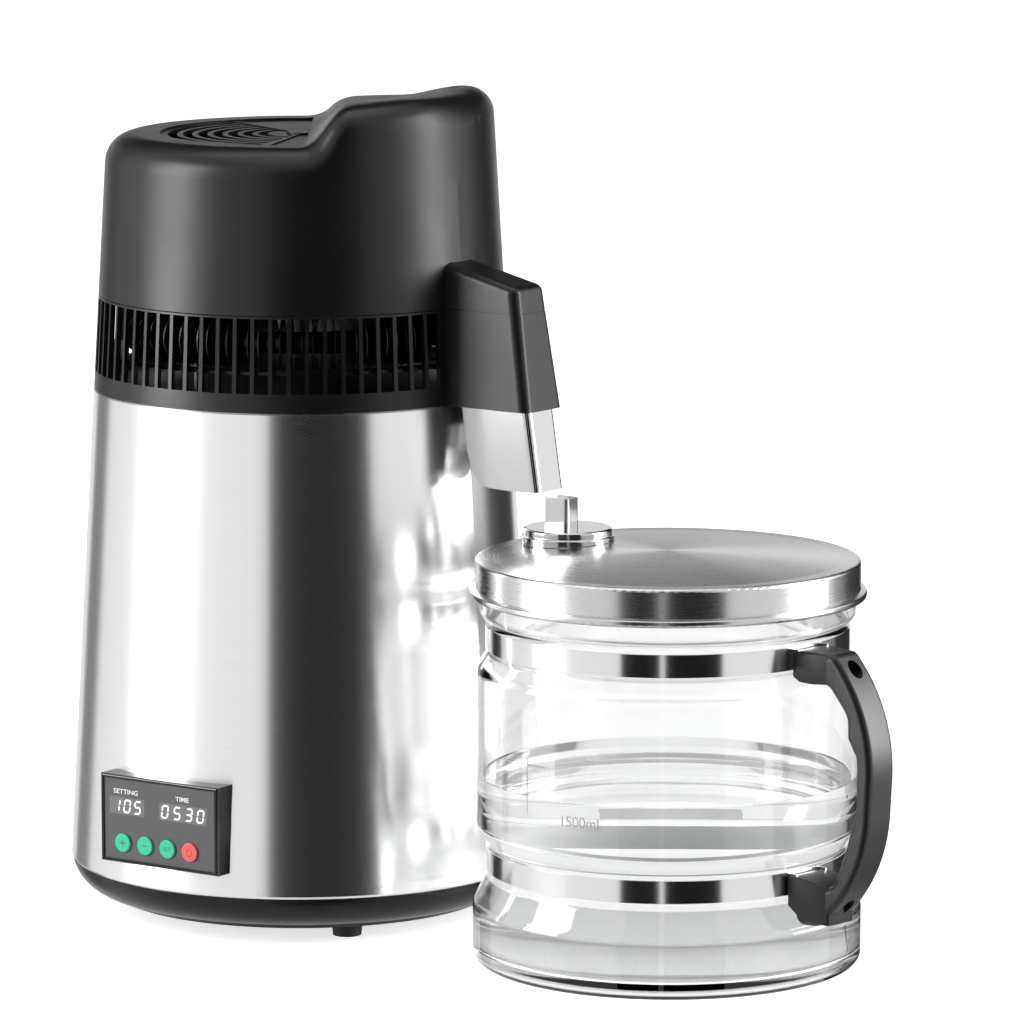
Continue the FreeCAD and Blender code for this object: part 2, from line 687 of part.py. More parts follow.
def spout_block(name, inset):
    """The spout housing as a tapering solid with a sloping roof, smaller by an inset."""
    low, high = 240.0, 330.0
    end = d.spout_end_bottom - inset

    def half(height):
        share = (height - d.head_bottom) / (d.spout_roof - d.head_bottom)
        return d.spout_half_bottom - (d.spout_half_bottom - d.spout_half_top) * share - inset

    wedge = document.addObject("Part::Wedge", name + "_wedge")
    bind(wedge, Ymin=low, Ymax=high, Xmin=80.0, X2min=80.0,
         Xmax=end - (low - d.head_bottom) * d.spout_lean, X2max=end - (high - d.head_bottom) * d.spout_lean,
         Zmin=-half(low), Zmax=half(low), Z2min=-half(high), Z2max=half(high))
    wedge.Placement = FreeCAD.Placement(Vector(), FreeCAD.Rotation(Vector(1, 0, 0), 90))
    roof = padded(name + "_roof", "XZ_Plane", 60.0, [
        (70.0, 200.0), (160.0, 200.0), (160.0, d.spout_roof - 14.1 - inset), (99.0, d.spout_roof - inset),
        (70.0, d.spout_roof + 6.7 - inset)])
    return common(name + "_block", wedge, roof)


def rounded_spout(name, inset):
    """The spout housing's solid with its upright corners and the border of its roof rounded."""
    sharp = spout_block(name, inset)

    def is_upright(edge):
        point = middle(edge)
        end = d.spout_end_bottom - inset - (point.z - d.head_bottom) * d.spout_lean
        return abs(point.x - end.value) < 0.2 and abs(point.y) > 5 and 245 < point.z < 301

    def is_roof(edge):
        point = middle(edge)
        return point.z > 294 and point.x > 90
    upright = fillet(name + "_corners", sharp, d.spout_corner - inset, is_upright)
    return fillet(name + "_rounded", upright, d.spout_border - inset, is_roof)


def make_head_mouldings():
    outer_spout = rounded_spout("spout", as_size(0.0))
    inner_spout = rounded_spout("spout_cavity", d.spout_wall)
    reach = (80.0, 160.0)
    across = (-40.0, 40.0)
    seam_slab = box("seam_slab", reach, across, (d.seam, d.seam + d.seam_groove))
    groove = cut("seam_groove", seam_slab, rounded_spout("spout_in_groove", d.seam_groove))
    above = box("above_seam", reach, across, (d.seam, 340.0))
    below = box("below_seam", reach, across, (d.head_bottom, d.seam))
    outside_drum = cone("drum_for_spout", 200.0, 400.0, 1.0)

    cap = cut("spout_cap", common("spout_upper", outer_spout, above), outside_drum, groove)
    grille_hole = cylinder("grille_hole", d.grille_radius, d.dome_top - 10.0, d.dome_top + 2.0)
    hump_side = box("hump_side", (d.grille_edge, 100.0), (-100.0, 100.0), (340.0, 400.0))
    turned_side = move(group("hump_side_turned", hump_side), turn=d.hump_angle)
    opening = cut("grille_opening", grille_hole, turned_side)
    outer = fuse("cover_outer", domed("dome", as_size(0.0)), cap)
    cavity = common("spout_upper_cavity", inner_spout,
                    box("above_seam_cavity", reach, across, (d.seam - 1.0, 340.0)))
    inner = fuse("cover_inner", domed("dome_inside", d.moulding), cavity)
    node(cut("cover", outer, inner, opening), "head_cover")

    ring = turned("ring_shell", [
        (side_radius(d.head_bottom), d.head_bottom), (side_radius(d.seam), d.seam - d.seam_groove),
        (side_radius(d.seam) - d.seam_groove, d.seam), (88.0, d.seam),
        (88.0, d.seam - 1.4), (side_radius(d.seam - 1.4) - 2.5, d.seam - 1.4),
        (side_radius(264.0) - 2.5, 264.0), (84.0, 264.0), (84.0, 262.6), (side_radius(262.6) - 2.5, 262.6),
        (side_radius(250.6) - 2.5, 250.6), (90.0, 250.6), (90.0, 248.6), (side_radius(248.6) - 2.5, 248.6),
        (side_radius(d.head_bottom) - 2.5, d.head_bottom)])
    count = int(round((360.0 - 2 * d.slot_first.value) / d.slot_pitch.value)) + 1
    cutters = []
    for number in range(count):
        angle = math.radians(d.slot_first.value + d.slot_pitch.value * number)
        cutter = document.addObject("Part::Box", f"vent_slot_{number}")
        bind(cutter, Length=12.0, Width=d.slot_width, Height=d.slot_top - d.slot_bottom)
        half = d.slot_width.value / 2
        corner = Vector(91.6 * math.cos(angle) + half * math.sin(angle),
                        91.6 * math.sin(angle) - half * math.cos(angle), d.slot_bottom.value)
        cutter.Placement = FreeCAD.Placement(corner, FreeCAD.Rotation(Z_AXIS, math.degrees(angle)))
        cutters.append(cutter)
    lower = cut("spout_lower_outside", common("spout_lower", outer_spout, below),
                cone("drum_core", 200.0, 400.0, 1.6))
    passage = common("spout_lower_cavity", inner_spout,
                     box("below_seam_cavity", reach, across, (d.head_bottom - 1.0, d.seam + 1.0)))
    slotted = cut("ring_slotted", ring, *cutters)
    node(cut("vent_ring_whole", fuse("vent_ring_outer", slotted, lower), passage), "vent_ring")


def make_grille():
    radii = [d.grille_radius - 3.6 - d.grille_pitch * number for number in range(7)]
    low = d.grille_top - d.grille_thickness
    disc = cylinder("grille_disc", d.grille_radius, low, d.grille_top)
    cutters = []
    for number, radius in enumerate(radii):
        wide = cylinder(f"ring_{number}_outside", radius, low - 1.0, d.grille_top + 1.0)
        bind(wide, Angle=d.grille_span)
        narrow = cylinder(f"ring_{number}_inside", radius - d.grille_slot, low - 2.0, d.grille_top + 2.0)
        cutters.append(cut(f"ring_{number}", wide, narrow))
    slots = group("grille_slots", fuse("grille_rings", *cutters))
    move(slots, turn=d.grille_angle - d.grille_span / 2.0)
    ribs = []
    for number, angle in enumerate((112.9, 156.9, 293.9)):
        rib = primitive("Box", f"grille_rib_{number}", Length=d.grille_radius - 8.0, Width=1.4, Height=0.5)
        x, y = around(angle, 6.0)
        rib.Placement = FreeCAD.Placement(Vector(x, y, d.grille_top.value), FreeCAD.Rotation(Z_AXIS, angle))
        ribs.append(rib)
    side = box("grille_side", (d.grille_edge, 100.0), (-100.0, 100.0), (340.0, 400.0))
    turned_side = move(group("grille_side_turned", side), turn=d.hump_angle)
    hub = cylinder("grille_hub", 6.5, low, d.grille_top + 0.8)
    whole = fuse("grille_whole", cut("grille_slotted", disc, slots), hub, *ribs)
    node(cut("grille", whole, turned_side), "fan_grille")


def make_condenser():
    node(turned("gasket", [(87.0, d.head_bottom), (94.0, d.head_bottom), (94.0, d.head_bottom + 2.0),
                           (87.0, d.head_bottom + 2.0)]), "boiler_gasket")
    low = d.head_bottom + 2.0
    top = low + d.sheet
    node(turned("steam_dome", [
        (94.2, low), (94.2, top), (70.0, top), (22.0, 261.6), (7.4, 262.2), (7.4, 270.0), (6.6, 270.0), (6.6, 261.4),
        (21.8, 260.8), (69.6, low), ]), "steam_dome")

    height = d.coil_height
    ring = primitive("Torus", "coil_ring", Radius1=d.coil_radius, Radius2=d.coil_tube,
                     Angle3=360.0 - d.coil_start)
    move(ring, z=height, turn=d.coil_start)
    riser = cylinder("steam_riser", 6.4, 264.0, height + 7.0)
    feed = move(group("steam_feed", lying("steam_feed_rod", d.coil_tube, 0.0, d.coil_radius, 0.0, height)),
                turn=d.coil_start)
    outlet = lying("condensate_outlet", d.coil_tube, d.coil_radius, 33.0, 0.0, height)
    unions = []
    for name, angle in (("steam_union", d.coil_start.value), ("outlet_union", 0.0)):
        x, y = around(angle, d.coil_radius.value)
        unions.append(move(primitive("Sphere", name, Radius=d.coil_union), x, y, height))
    node(fuse("coil", ring, riser, feed, outlet, *unions), "condenser_coil")

    fins = []
    for number in range(int(d.fin_count.value)):
        angle = d.fin_first.value + d.fin_pitch.value * number
        x, y = around(angle, d.coil_radius.value)
        fin = primitive("Cylinder", f"fin_{number}", Radius=d.fin_radius, Height=d.fin_thickness)
        across = FreeCAD.Rotation(Z_AXIS, angle).multiply(FreeCAD.Rotation(Vector(1, 0, 0), -90))
        fin.Placement = FreeCAD.Placement(Vector(x, y, height.value), across)
        fins.append(fin)
    node(cut("fins_bored", group("fins", *fins), ring), "coil_fins")

    posts = []
    for number in (6, 38, 70):
        angle = d.fin_first.value + d.fin_pitch.value * (number + 0.5)
        x, y = around(angle, d.coil_radius.value)
        post = primitive("Box", f"bracket_{number}", Length=d.bracket_length, Width=d.bracket_width,
                         Height=height - d.coil_tube + 3.0 - top)
        turn = FreeCAD.Rotation(Z_AXIS, angle)
        corner = turn.multVec(Vector(-d.bracket_length.value / 2, -d.bracket_width.value / 2, 0))
        post.Placement = FreeCAD.Placement(corner + Vector(x, y, top.value), turn)
        posts.append(post)
    node(cut("brackets", group("bracket_posts", *posts), ring), "coil_brackets")


def make_fan():
    low = d.seam
    high = low + 1.2
    ring = cut("fan_plate_ring", cylinder("fan_plate_disc", 91.0, low, high),
               cylinder("fan_plate_hole", 64.0, low - 1, high + 1))
    arms = [box("fan_plate_arm_0", (-70.0, 70.0), (-6.0, 6.0), (low, high)),
            box("fan_plate_arm_1", (-6.0, 6.0), (-70.0, 70.0), (low, high))]
    node(fuse("fan_plate_whole", ring, cylinder("fan_plate_boss", 22.0, low, high), *arms), "fan_plate")
    motor = fuse("motor_solid", cylinder("motor_can", 18.0, high, high + 24.0),
                 cylinder("motor_boss", 6.0, high, high + 28.0))
    bore = cylinder("motor_bore", d.fan_shaft_radius + d.fit_clearance, high + 6.0, high + 40.0)
    node(cut("motor", motor, bore), "fan_motor")
    shaft = cylinder("shaft", d.fan_shaft_radius, high + 8.0, high + 44.0)
    node(shaft, "fan_shaft")
    hub_low = high + 30.0
    hub = cut("fan_hub", cylinder("fan_hub_disc", d.hub_radius, hub_low, hub_low + 17.0),
              cylinder("fan_hub_bore", d.fan_shaft_radius, hub_low - 1.0, hub_low + 14.0))
    blades = []
    for number in range(7):
        blade = primitive("Box", f"blade_{number}", Length=d.fan_radius - d.hub_radius + 1.0,
                          Width=24.0, Height=1.4)
        tilt = FreeCAD.Rotation(Vector(1, 0, 0), 32)
        spin = FreeCAD.Rotation(Z_AXIS, 360.0 / 7 * number)
        offset = tilt.multVec(Vector(0, -12, 0)) + Vector(d.hub_radius.value - 1, 0, 0)
        blade.Placement = FreeCAD.Placement(spin.multVec(offset) + Vector(0, 0, hub_low.value + 8.5),
                                            spin.multiply(tilt))
        blades.append(blade)
    node(fuse("fan", hub, *blades), "fan_blades")


def make_nozzle():
    lean = d.spout_lean
    front = d.nozzle_front
    low, high = d.nozzle_bottom, d.nozzle_top
    wall = d.sheet
    body = padded("nozzle", "XZ_Plane", d.nozzle_half * 2.0, [
        (front, low + 0.4), (front - (high - low) * lean, high), (front - 44.6, high), (104.6, 226.0, 12),
        (110.0, 209.5, 12), (127.0, low)])

    def is_front_corner(edge):
        return abs(middle(edge).y) > 9 and middle(edge).x > 138 and edge.Length > 40
    rounded = fillet("nozzle_rounded", body, d.nozzle_corner, is_front_corner)
    inside = padded("nozzle_inside", "XZ_Plane", (d.nozzle_half - wall) * 2.0, [
        (front - 0.9, low + 1.2), (front - 0.9 - (high + 10 - low - 1.2) * lean, high + 10), (90.0, high + 10),
        (90.0, 236.0), (104.4, 236.0), (105.6, 226.0, 11.2), (111.0, 210.5, 11.2), (127.0, low + wall)])
    hollow = fillet("nozzle_inside_rounded", inside, d.nozzle_corner - wall, is_front_corner)
    drip = box("nozzle_drip", (front - 8.0, front - 2.0), (-3.5, 3.5), (low - 5.0, low + 5.0))
    node(cut("nozzle_hollow", rounded, hollow, drip), "nozzle")
    node(box("sachet", (119.0, 126.0), (-8.5, 8.5), (low + 1.4, low + 27.0)), "charcoal_sachet")


# ---------------------------------------------------------------------------------------------
# Jug, lid and filling cap, built on the jug's axis
# ---------------------------------------------------------------------------------------------

def glass_outside(gap):
    """The glass's outer outline from its foot to its mouth, standing off by a gap."""
    neck = d.jug_neck_radius + gap
    return [
        (d.jug_base_radius + gap, 0, 6), (d.jug_base_radius + gap, d.lower_band - 16.0, 8),
        (neck, d.lower_band - 3.5, 5), (neck, d.lower_band + d.band_height + 1.8, 5),
        (d.jug_radius + gap, d.lower_band + 20.0, 8), (d.jug_radius + gap, d.upper_band - 9.8, 8),
        (neck, d.upper_band - 1.8, 5), (neck, d.upper_band + d.band_height + 1.8, 4)]


def make_jug():
    wall = d.jug_wall
    inner_neck = d.jug_neck_radius - wall
    inner = d.jug_radius - wall
    shoulder = d.jug_shoulder_radius
    node(turned("jug_glass", [(0, 3.0), (76.0, 3.0), (79.0, 0)] + glass_outside(0.0) + [
        (shoulder, d.upper_band + 15.6, 4), (shoulder, d.jug_top, 1.3), (shoulder - wall, d.jug_top, 1.3),
        (shoulder - wall, d.upper_band + 15.0, 4), (inner_neck, d.upper_band + d.band_height + 1.4, 5),
        (inner_neck, d.upper_band - 1.4, 5), (inner, d.upper_band - 9.0, 6), (inner, d.lower_band + 19.2, 6),
        (inner_neck, d.lower_band + d.band_height + 1.4, 5), (inner_neck, d.lower_band - 3.0, 5),
        (d.jug_base_radius - wall, d.lower_band - 15.5, 6), (d.jug_base_radius - wall, 7.0, 6), (0, 7.0)]),
        "jug_glass", jug_x)

    outside = d.jug_neck_radius + d.sheet
    for name, low in (("lower_band", d.lower_band), ("upper_band", d.upper_band)):
        inside = d.jug_neck_radius + 0.03
        hoop = turned(name + "_hoop", [(inside, low), (outside, low), (outside, low + d.band_height),
                                       (inside, low + d.band_height)])
        tabs = [box(f"{name}_tab_{side}", (outside - 0.9, outside + 3.6), (y - 0.5, y + 0.5),
                    (low + 0.4, low + d.band_height - 0.4)) for side, y in (("near", -9.9), ("far", 9.9))]
        node(fuse(name + "_whole", hoop, *tabs), name, jug_x, turn=d.handle_angle)

    tip = d.handle_reach
    half = d.handle_half
    grip = padded("grip", "XZ_Plane", half * 2.0, [
        (76.0, 152.6), (tip - 21.2, 153.9, 5), (tip + 2.1, 127.1, 70), (tip - 2.4, 56.0, 70), (tip - 28.6, 30.5, 9),
        (tip - 41.6, 29.8, 3), (76.0, 33.5), (76.0, 48.6), (tip - 21.2, 49.2, 5), (tip - 15.2, 64.0, 18),
        (tip - 8.2, 86.0, 20), (tip - 8.2, 109.0, 8), (tip - 13.4, 117.5, 3), (tip - 13.6, 127.0, 8),
        (tip - 24.6, 140.0, 8), (76.0, 139.6)])
    rounded = fillet("grip_rounded", grip, 3.0, lambda edge: abs(abs(middle(edge).y) - half.value) < 0.01
                     and middle(edge).x > tip.value - 45.0)
    around_glass = turned("grip_seat", [(0, 0)] + glass_outside(d.sheet) + [(0, d.upper_band + 20.0)])
    holes = []
    screws = []
    for number, height in enumerate((147.2, 39.6)):
        holes.append(lying(f"screw_recess_{number}", 3.75, 97.0, 40.0, 0.0, height))
        holes.append(lying(f"screw_clearance_{number}", d.screw_radius + 0.1, 70.0, 40.0, 0.0, height))
        screws.append(lying(f"screw_head_{number}", 3.5, 97.0, 2.4, 0.0, height))
        shank_start = d.jug_neck_radius + d.sheet + 0.8
        screws.append(lying(f"screw_shank_{number}", d.screw_radius, shank_start, 16.0, 0.0, height))
    node(cut("grip_whole", rounded, around_glass, *holes), "jug_handle", jug_x, turn=d.handle_angle)
    node(fuse("screws", *screws), "handle_screws", jug_x, turn=d.handle_angle)


def make_lid():
    rim = d.lid_rim
    edge = d.lid_radius
    inside = edge - d.sheet
    skirt = d.lid_bottom + 4.0
    crown = (d.lid_flat * d.lid_flat + d.lid_dome * d.lid_dome) / (2.0 * d.lid_dome)
    shell = turned("lid_shell", [
        (0, rim + d.lid_dome - d.sheet), (0, rim + d.lid_dome, 0, -crown), (d.lid_flat, rim), (edge, rim, 1.6),
        (edge, skirt), (d.lid_bead, skirt - 0.8, 1.0), (d.lid_bead, d.lid_bottom + 0.4, 1.4), (inside, d.lid_bottom),
        (inside, rim - d.sheet), (d.lid_flat, rim - d.sheet, 0, crown)])
    hole = cylinder("lid_filling_hole", 12.0, rim - 10.0, rim + 10.0, d.cap_offset)
    node(cut("lid_cut", shell, hole), "jug_lid", jug_x)
    node(turned("lid_seal", [(80.5, d.jug_top), (inside, d.jug_top), (inside, rim - d.sheet), (80.5, rim - d.sheet)]),
         "lid_seal", jug_x)

    dome = turned("lid_clearance", [(0, rim - 20.0), (d.lid_radius + 2.0, rim - 20.0), (d.lid_radius + 2.0, rim + 0.2),
                                    (d.lid_flat, rim + 0.2, 0, crown), (0, rim + d.lid_dome + 0.2)])
    radius = d.cap_radius
    top = d.cap_top
    cap = turned("cap_shell", [
        (0, top), (radius - 0.9, top, 1.2), (radius - 0.9, top - 3.4, 0.4), (radius, top - 3.6, 0.6), (radius, 180.0),
        (radius - 1.2, 180.0), (radius - 1.2, top - 1.2), (0, top - 1.2)])
    placed = document.addObject("Part::Compound", "cap_placed")
    placed.Links = [cap]
    move(placed, d.cap_offset)
    mouth = box("cap_mouth", (d.tube_back, d.tube_front), (-d.tube_half, d.tube_half), (180.0, 200.0))
    node(cut("cap_cut", placed, dome, mouth), "filling_cap", jug_x)
    low = top - 2.6
    channel = box("tube_block", (d.tube_back, d.tube_front), (-d.tube_half, d.tube_half), (low, d.tube_top))
    bent = fillet("tube_bent", channel, 2.0, lambda edge: middle(edge).x > d.tube_front.value - 0.1
                  and abs(middle(edge).y) > 4 and edge.Length > 10)
    bore = box("tube_bore", (d.tube_back - 5.0, d.tube_front - d.sheet), (-d.tube_half + d.sheet, d.tube_half - d.sheet),
               (low - 5.0, d.tube_top + 5.0))
    node(cut("tube", bent, bore), "filling_tube", jug_x)


# ---------------------------------------------------------------------------------------------
# Build, check and write
# ---------------------------------------------------------------------------------------------

def check_document():
    """Stops where an object failed, or a sub-part's shape is empty or broken."""
    document.recompute()
    failed = [thing.Name for thing in document.Objects if "Invalid" in thing.State or "Error" in thing.State]
    if failed:
        raise RuntimeError(f"these objects failed: {failed}")
    for name, thing in nodes.items():
        if thing.Shape.isNull() or not thing.Shape.isValid() or thing.Shape.Volume < 1.0:
            raise RuntimeError(f"the shape of {name} is empty or broken")


def main():
    make_base()
    make_casing()
    make_boiler()
    make_sockets()
    make_panel()
    make_head_mouldings()
    make_grille()
    make_condenser()
    make_fan()
    make_nozzle()
    make_jug()
    make_lid()
    check_document()
    os.makedirs("parts", exist_ok=True)
    for name, thing in nodes.items():
        thing.Shape.exportStep(f"parts/{name}.step")
        bounds = thing.Shape.BoundBox
        print(f"{name}: {len(thing.Shape.Solids)} solid(s), {thing.Shape.Volume / 1000:.2f} cm3, "
              f"x {bounds.XMin:.1f} to {bounds.XMax:.1f}, y {bounds.YMin:.1f} to {bounds.YMax:.1f}, "
              f"z {bounds.ZMin:.1f} to {bounds.ZMax:.1f}")


main()
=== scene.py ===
"""Looks of the glass water distiller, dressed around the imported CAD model. Metres, row frame."""
import math

import bmesh
import bpy
from mathutils import Matrix, Vector


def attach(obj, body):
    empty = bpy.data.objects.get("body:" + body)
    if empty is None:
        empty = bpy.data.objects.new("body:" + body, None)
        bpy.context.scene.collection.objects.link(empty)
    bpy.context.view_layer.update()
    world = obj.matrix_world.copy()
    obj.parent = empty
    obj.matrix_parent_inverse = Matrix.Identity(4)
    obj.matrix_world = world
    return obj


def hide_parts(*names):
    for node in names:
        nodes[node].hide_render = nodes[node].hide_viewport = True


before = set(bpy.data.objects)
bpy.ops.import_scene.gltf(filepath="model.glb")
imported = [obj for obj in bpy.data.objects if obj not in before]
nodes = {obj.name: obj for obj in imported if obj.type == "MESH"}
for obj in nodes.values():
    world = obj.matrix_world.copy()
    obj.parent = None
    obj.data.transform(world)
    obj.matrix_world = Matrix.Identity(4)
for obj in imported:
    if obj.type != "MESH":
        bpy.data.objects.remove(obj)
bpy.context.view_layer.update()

scene = bpy.context.scene
scene.view_settings.view_transform = "Standard"

UNIT_X = -0.11305
JUG_X = 0.09745
MM = 0.001

# ---------------------------------------------------------------------------------------------
# Camera
# ---------------------------------------------------------------------------------------------

CAMERA_PLACE = (1.7622, -2.3402, 0.6575)
CAMERA_PITCH = 8.9465
CAMERA_TURN = 36.829
CAMERA_LENS = 227.14
CAMERA_SIDE = Vector((0.6, -0.8, 0.0))
CAMERA_RIGHT = Vector((0.8, 0.6, 0.0))

camera_data = bpy.data.cameras.new("camera")
camera_data.lens = CAMERA_LENS
camera_data.sensor_width = 36.0
camera_data.clip_end = 50.0
camera = bpy.data.objects.new("camera", camera_data)
camera.location = CAMERA_PLACE
camera.rotation_euler = (math.radians(90.0 - CAMERA_PITCH), 0.0, math.radians(CAMERA_TURN))
scene.collection.objects.link(camera)
scene.camera = camera


# ---------------------------------------------------------------------------------------------
# Shader helpers
# ---------------------------------------------------------------------------------------------

def add(tree, kind, links=(), **settings):
    """Adds a shader node with its settings, and its sockets set to values or joined to other sockets."""
    made = tree.nodes.new("ShaderNode" + kind)
    for name, value in settings.items():
        setattr(made, name, value)
    for socket, value in dict(links).items():
        if isinstance(value, bpy.types.NodeSocket):
            tree.links.new(value, made.inputs[socket])
        else:
            made.inputs[socket].default_value = value
    return made


def new_material(name, color, roughness, metallic=0.0, **sockets):
    """A material with one Principled shader. Returns the material, its tree and the shader."""
    made = bpy.data.materials.new(name)
    made.use_nodes = True
    tree = made.node_tree
    shader = tree.nodes["Principled BSDF"]
    shader.inputs["Base Color"].default_value = (*color, 1.0)
    shader.inputs["Roughness"].default_value = roughness
    shader.inputs["Metallic"].default_value = metallic
    for socket, value in sockets.items():
        shader.inputs[socket.replace("_", " ")].default_value = value
    return made, tree, shader


def object_place(tree, scale=(1.0, 1.0, 1.0)):
    """The place on the object in metres, stretched by a scale."""
    place = add(tree, "TexCoord")
    return add(tree, "Mapping", {"Vector": place.outputs["Object"], "Scale": scale}).outputs["Vector"]


def noise(tree, where, scale, detail, rough):
    """A noise value over a place."""
    made = add(tree, "TexNoise", {"Vector": where, "Scale": scale, "Detail": detail, "Roughness": rough})
    return made.outputs["Fac"]


def spread(tree, value, low, high, first=0.0, last=1.0):
    """Maps a value from one range to another."""
    made = add(tree, "MapRange", {"Value": value, "From Min": first, "From Max": last, "To Min": low, "To Max": high})
    return made.outputs["Result"]


def bump(tree, shader, height, strength, distance):
    """Gives a shader a bumped normal."""
    made = add(tree, "Bump", {"Height": height, "Strength": strength, "Distance": distance})
    tree.links.new(made.outputs["Normal"], shader.inputs["Normal"])


def tint(tree, shader, value, dark, light):
    """Colours a shader between two colours by a value."""
    made = add(tree, "Mix", {"Factor": value}, data_type="RGBA")
    ends = [socket for socket in made.inputs if socket.type == "RGBA"]
    ends[0].default_value = (*dark, 1.0)
    ends[1].default_value = (*light, 1.0)
    color = [socket for socket in made.outputs if socket.type == "RGBA"][0]
    tree.links.new(color, shader.inputs["Base Color"])


# ---------------------------------------------------------------------------------------------
# Materials
# ---------------------------------------------------------------------------------------------

def moulded(name, color, roughness, grain=0.25, light=1.35, **sockets):
    """Moulded plastic with a fine spark-eroded grain and slight unevenness."""
    made, tree, shader = new_material(name, color, roughness, **sockets)
    place = object_place(tree)
    fine = noise(tree, place, 2600.0, 2.0, 0.6)
    broad = noise(tree, place, 22.0, 3.0, 0.55)
    tint(tree, shader, broad, color, tuple(min(1.0, part * light) for part in color))
    uneven = spread(tree, broad, roughness - 0.03, roughness + 0.04, 0.3, 0.7)
    tree.links.new(uneven, shader.inputs["Roughness"])
    bump(tree, shader, fine, grain, 0.00012)
    return made


def polar_place(tree, centre, scale):
    """The place as radius, angle and height about an upright axis, stretched by a scale."""
    place = add(tree, "TexCoord").outputs["Object"]
    place = add(tree, "VectorMath", {0: place, 1: (centre, 0.0, 0.0)}, operation="SUBTRACT").outputs["Vector"]
    parts = add(tree, "SeparateXYZ", {"Vector": place}).outputs
    flat = add(tree, "CombineXYZ", {"X": parts["X"], "Y": parts["Y"]}).outputs["Vector"]
    radius = add(tree, "VectorMath", {0: flat}, operation="LENGTH").outputs["Value"]
    angle = add(tree, "Math", {0: parts["Y"], 1: parts["X"]}, operation="ARCTAN2").outputs["Value"]
    joined = add(tree, "CombineXYZ", {"X": radius, "Y": angle, "Z": parts["Z"]}).outputs["Vector"]
    return add(tree, "Mapping", {"Vector": joined, "Scale": scale}).outputs["Vector"]


def brushed(name, color, roughness, centre, lines, strength=0.04, anisotropic=0.6, contrast=0.04):
    """Steel brushed round an upright axis. Lines is the brushing's scale along radius, angle and height."""
    made, tree, shader = new_material(name, color, roughness, 1.0)
    shader.inputs["Anisotropic"].default_value = anisotropic
    shader.inputs["Anisotropic Rotation"].default_value = 0.25
    around = add(tree, "Tangent", direction_type="RADIAL", axis="Z")
    tree.links.new(around.outputs["Tangent"], shader.inputs["Tangent"])
    scratches = noise(tree, polar_place(tree, centre, lines), 1.0, 4.0, 0.65)
    tint(tree, shader, spread(tree, scratches, 0.0, 1.0, 0.3, 0.7), tuple(part * (1 - contrast) for part in color),
         tuple(min(1.0, part * (1 + contrast)) for part in color))
    uneven = spread(tree, scratches, roughness - 0.02, roughness + 0.02, 0.3, 0.7)
    tree.links.new(uneven, shader.inputs["Roughness"])
    bump(tree, shader, scratches, strength, 0.00002)
    return made


def polished(name, color, roughness, scale=400.0, strength=0.03):
    """Bare metal with a faint uneven finish."""
    made, tree, shader = new_material(name, color, roughness, 1.0)
    fine = noise(tree, object_place(tree), scale, 3.0, 0.6)
    tint(tree, shader, fine, tuple(part * 0.94 for part in color), color)
    tree.links.new(spread(tree, fine, roughness * 0.8, roughness * 1.25, 0.3, 0.7), shader.inputs["Roughness"])
    bump(tree, shader, fine, strength, 0.00003)
    return made


black_dome = moulded("satin_black_dome", (0.004, 0.004, 0.0042), 0.33, Specular_IOR_Level=0.4)
black_base = moulded("satin_black_base", (0.004, 0.004, 0.004), 0.26, Specular_IOR_Level=0.3)
black_handle = moulded("satin_black_handle", (0.006, 0.006, 0.0064), 0.36, grain=0.35, Specular_IOR_Level=0.6)
black_inner = moulded("inner_black", (0.004, 0.004, 0.0042), 0.5, Specular_IOR_Level=0.2)
black_gloss = moulded("panel_black", (0.003, 0.003, 0.003), 0.1, grain=0.04)
rubber = moulded("foot_rubber", (0.01, 0.01, 0.01), 0.7, grain=0.5)
panel_grey = moulded("panel_grey", (0.078, 0.078, 0.082), 0.55, grain=0.3, light=1.12)
window_tint = moulded("window_tint", (0.15, 0.147, 0.147), 0.35, grain=0.05, light=1.08)
board_green = moulded("board_green", (0.01, 0.07, 0.03), 0.35)
silicone = moulded("silicone", (0.7, 0.7, 0.67), 0.45, grain=0.1, light=1.05)
motor_grey = moulded("motor_grey", (0.02, 0.02, 0.021), 0.45)
heater_grey = moulded("heater_grey", (0.2, 0.2, 0.2), 0.5)
sachet_cloth = moulded("sachet_cloth", (0.62, 0.62, 0.6), 0.85, grain=0.6, light=1.1)
button_green = moulded("button_green", (0.03, 0.55, 0.30), 0.38, grain=0.1, light=1.05)
button_red = moulded("button_red", (1.0, 0.11, 0.11), 0.38, grain=0.1, light=1.0)
casing_steel = brushed("casing_steel", (0.90, 0.90, 0.905), 0.25, UNIT_X, (60.0, 3.0, 5200.0), 0.03, 0.7, 0.03)
lid_steel = brushed("lid_steel", (0.66, 0.66, 0.665), 0.27, JUG_X, (5200.0, 3.0, 5200.0), 0.015, 0.8, 0.03)
band_steel = brushed("band_steel", (0.86, 0.86, 0.86), 0.16, JUG_X, (50.0, 4.0, 7000.0), 0.03, 0.7, 0.03)
# A paler, rougher copy of the band steel for each band's inner back: painted light, so that the back seen through the
# glass reads light grey.
band_back_painted_light = polished("band_back_painted_light", (0.92, 0.92, 0.92), 0.6)
bright_steel = polished("bright_steel", (0.84, 0.84, 0.845), 0.12)
inner_steel = polished("inner_steel", (0.35, 0.35, 0.36), 0.3)
dim_steel = polished("dim_steel", (0.12, 0.12, 0.122), 0.45)
# Steel darkened nearly to black for the coil, its fins and its brackets: painted shade of the inside of the cover, seen
# through the vents.
fin_steel_painted_shade = polished("fin_steel_painted_shade", (0.07, 0.07, 0.072), 0.4)
nozzle_steel = polished("nozzle_steel", (0.62, 0.62, 0.625), 0.1, 2600.0, 0.01)
plate_aluminium = polished("plate_aluminium", (0.7, 0.7, 0.7), 0.35)


